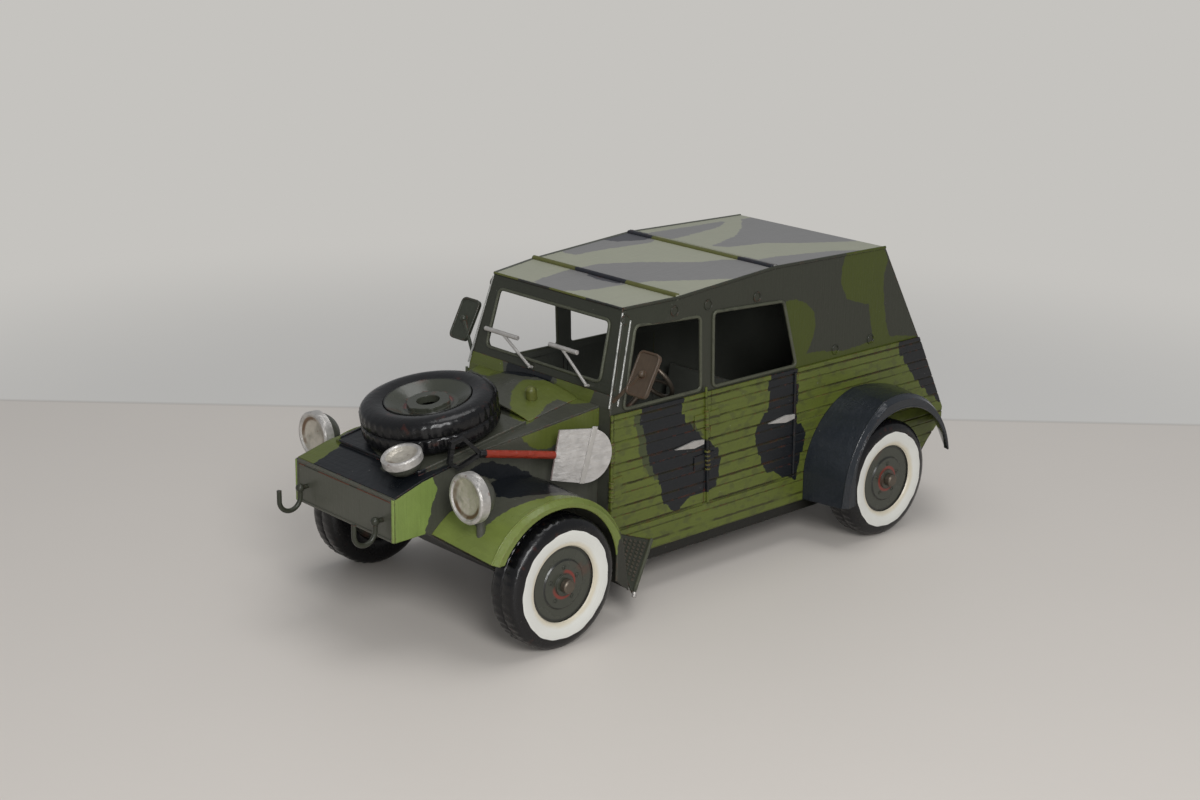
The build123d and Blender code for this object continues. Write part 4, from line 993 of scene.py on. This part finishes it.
# Step plates: rolled rear strip with a silver tip, and rows of perforations. Rows: how far up the
# plate they are, from its foot to its front, and their number of holes.
strip, tip, holes = [], [], []
for facing in (1, -1):
    foot = at(132.4, facing * 46.9, 24.0)
    end = at(158.0, facing * 63.5, 12.0)
    front_top = at(160.0, facing * 46.9, 34.5)
    strip.append([foot, end])
    tip.append([end, at(158.8, facing * 64.3, 10.2)])
    normal = (front_top - foot).cross(end - foot).normalized() * (0.15 * MM * facing)
    for row, count in ((0.12, 11), (0.22, 10), (0.32, 9), (0.42, 7), (0.52, 6)):
        inner, outer = foot.lerp(front_top, row), end.lerp(front_top, row)
        for k in range(count):
            holes.append(hoop(inner.lerp(outer, (k + 1.3) / (count + 1.6)) + normal, normal, 0.5, 8))
wires("step_edge_strips", strip, 0.85, bead_metal)
wires("step_edge_tips", tip, 0.95, silver)
wires("step_perforations", holes, 0.2, nut_metal, closed=True, sides=5)

# Mirrors: a rolled rim round each plate
mirror_lean = radians(27)
mirror_out = Vector((cos(mirror_lean), 0, sin(mirror_lean)))
mirror_up = Vector((-sin(mirror_lean), 0, cos(mirror_lean)))
mirror_half, mirror_tall = 5.6 * MM, 9.1 * MM
mirror_lines = []
for facing in (1, -1):
    centre = at(149.0, facing * 57.0, 102.0) + mirror_out * 1.3 * MM
    corners = []
    for a, b in ((1, 1), (-1, 1), (-1, -1), (1, -1)):
        corners.append(centre + LEFT * mirror_half * a + mirror_up * mirror_tall * b)
    mirror_lines.append(rounded(corners, 2.4))
wires("mirror_rims", mirror_lines, 0.6, paint_mirror, closed=True)

# Spade: the strap across its blade. Outline: along the spade, and up.
spade_side = UP.cross(spade_line).normalized()
spade_up = spade_side.cross(spade_line)
strap_middle = spade_start + spade_line * 11.5 * MM + spade_side * 0.75 * MM
strap_lean = 0.08
strap_outline = (
    (-1.2, -12.6), (1.2, -12.6), (1.3, -4.0), (1.05, 4.0),
    (1.2, 11.6), (-1.2, 11.6), (-1.3, 3.0), (-1.0, -5.0),
)
strap = [
    strap_middle + spade_line * (strap_lean * up + along) * MM + spade_up * up * MM
    for along, up in strap_outline
]
slabs("spade_strap", [strap], [spade_side * 0.7 * MM], silver)

# Floor: a pale table top, with a thin line of painted corner shade behind the car where a paler
# wall's tone begins. Far from the car, the camera sees both in their plain colours.
floor_mesh = bpy.data.meshes.new("floor")
floor_mesh.from_pydata([(-6, -6, 0), (6, -6, 0), (6, 6, 0), (-6, 6, 0)], [], [(0, 1, 2, 3)])
floor = bpy.data.objects.new("floor", floor_mesh)
bpy.context.scene.collection.objects.link(floor)
toward_camera = (0.6832, 0.7312, 0.0)
wall_line = -0.2039
g = Graph("floor_paint")
nearness = g.vector("DOT_PRODUCT", g.place, toward_camera, out=1)
on_wall = g.step(nearness, wall_line + 0.001, wall_line - 0.001)
# Painted shade: a thin darker line where the wall's tone begins, for the corner a wall would make.
corner_shade = g.band(nearness, wall_line, 0.0030, 0.0012)
tone = g.over(g.mix(on_wall, FLOOR_TONE, WALL_TONE), CORNER_SHADE_TONE, corner_shade, 0.25)
tone = g.shade(tone, 0.012, g.noise(14, 4.0))
g.finished(tone, 0.5, g.bump(g.noise(180, 3.0), 0.1, 0.0005))
far_tone = g.mix(on_wall, FLOOR_FAR, WALL_FAR)
glow = g.node("ShaderNodeEmission", {"Color": far_tone, "Strength": 1.0})
light_path = g.tree.nodes.new("ShaderNodeLightPath").outputs
seen = g.math("MAXIMUM", light_path["Is Camera Ray"], light_path["Is Glossy Ray"])
seen = g.math("MAXIMUM", seen, light_path["Is Transmission Ray"])
far_start = g.math("MULTIPLY_ADD", on_wall, -0.16, 0.42)
away = g.math("DIVIDE", g.math("SUBTRACT", g.vector("LENGTH", g.place, out=1), far_start), 0.42)
shown_far = g.math("MULTIPLY", seen, g.step(away, 0.0, 1.0))
mixed = g.node("ShaderNodeMixShader", {0: shown_far, 1: g.shader.outputs[0], 2: glow})
g.tree.links.new(mixed, g.output.inputs[0])
floor_mesh.materials.append(g.material)

# World: soft light from all round, shown to the camera in the wall's far colour
world = bpy.data.worlds.new("studio")
bpy.context.scene.world = world
world.use_nodes = True
sky = world.node_tree
lit = sky.nodes["Background"]
lit.inputs["Color"].default_value = (0.95, 0.97, 1.0, 1.0)
lit.inputs["Strength"].default_value = 0.34
shown = sky.nodes.new("ShaderNodeBackground")
shown.inputs["Color"].default_value = WALL_FAR
path = sky.nodes.new("ShaderNodeLightPath")
either = sky.nodes.new("ShaderNodeMath")
either.operation = "MAXIMUM"
blend = sky.nodes.new("ShaderNodeMixShader")
for output, socket in (
    (path.outputs["Is Camera Ray"], either.inputs[0]),
    (path.outputs["Is Transmission Ray"], either.inputs[1]),
    (either.outputs[0], blend.inputs[0]),
    (lit.outputs[0], blend.inputs[1]),
    (shown.outputs[0], blend.inputs[2]),
    (blend.outputs[0], sky.nodes["World Output"].inputs[0]),
):
    sky.links.new(output, socket)

# Lamps: place, what they light, size and watts
for name, place, target, size, power in (
    ("key", (0.62, 1.08, 0.83), (0.0, 0.0, 0.06), 0.55, 10.5),
    ("top", (-0.15, 0.1, 1.5), (0.0, 0.0, 0.06), 0.9, 5.5),
    ("fill", (0.98, 1.0, 0.42), (0.0, 0.0, 0.08), 0.35, 3.6),
):
    data = bpy.data.lights.new(name, "AREA")
    data.shape = "DISK"
    data.size = size
    data.energy = power
    light = bpy.data.objects.new(name, data)
    bpy.context.scene.collection.objects.link(light)
    light.location = place
    light.rotation_mode = "QUATERNION"
    light.rotation_quaternion = (Vector(place) - Vector(target)).to_track_quat("Z", "Y")

# Camera, solved from the photograph's own straight edges: its axes, place and focal length
camera_right = Vector((-0.73351185, 0.67936615, 0.02054266))
camera_up = Vector((-0.18312581, -0.22664684, 0.95660658))
camera_back = Vector((0.65454206, 0.69792037, 0.29065762))
focal_pixels, picture_width, sensor_width = 1957.07, 1200, 36.0
camera_data = bpy.data.cameras.new("camera")
camera_data.sensor_width = sensor_width
camera_data.lens = focal_pixels / picture_width * sensor_width
camera = bpy.data.objects.new("camera", camera_data)
bpy.context.scene.collection.objects.link(camera)
turn = Matrix((camera_right, camera_up, camera_back)).transposed().to_4x4()
camera.matrix_world = Matrix.Translation(at(682.43, 599.58, 322.27)) @ turn
bpy.context.scene.camera = camera

bpy.context.scene.view_settings.view_transform = "Standard"
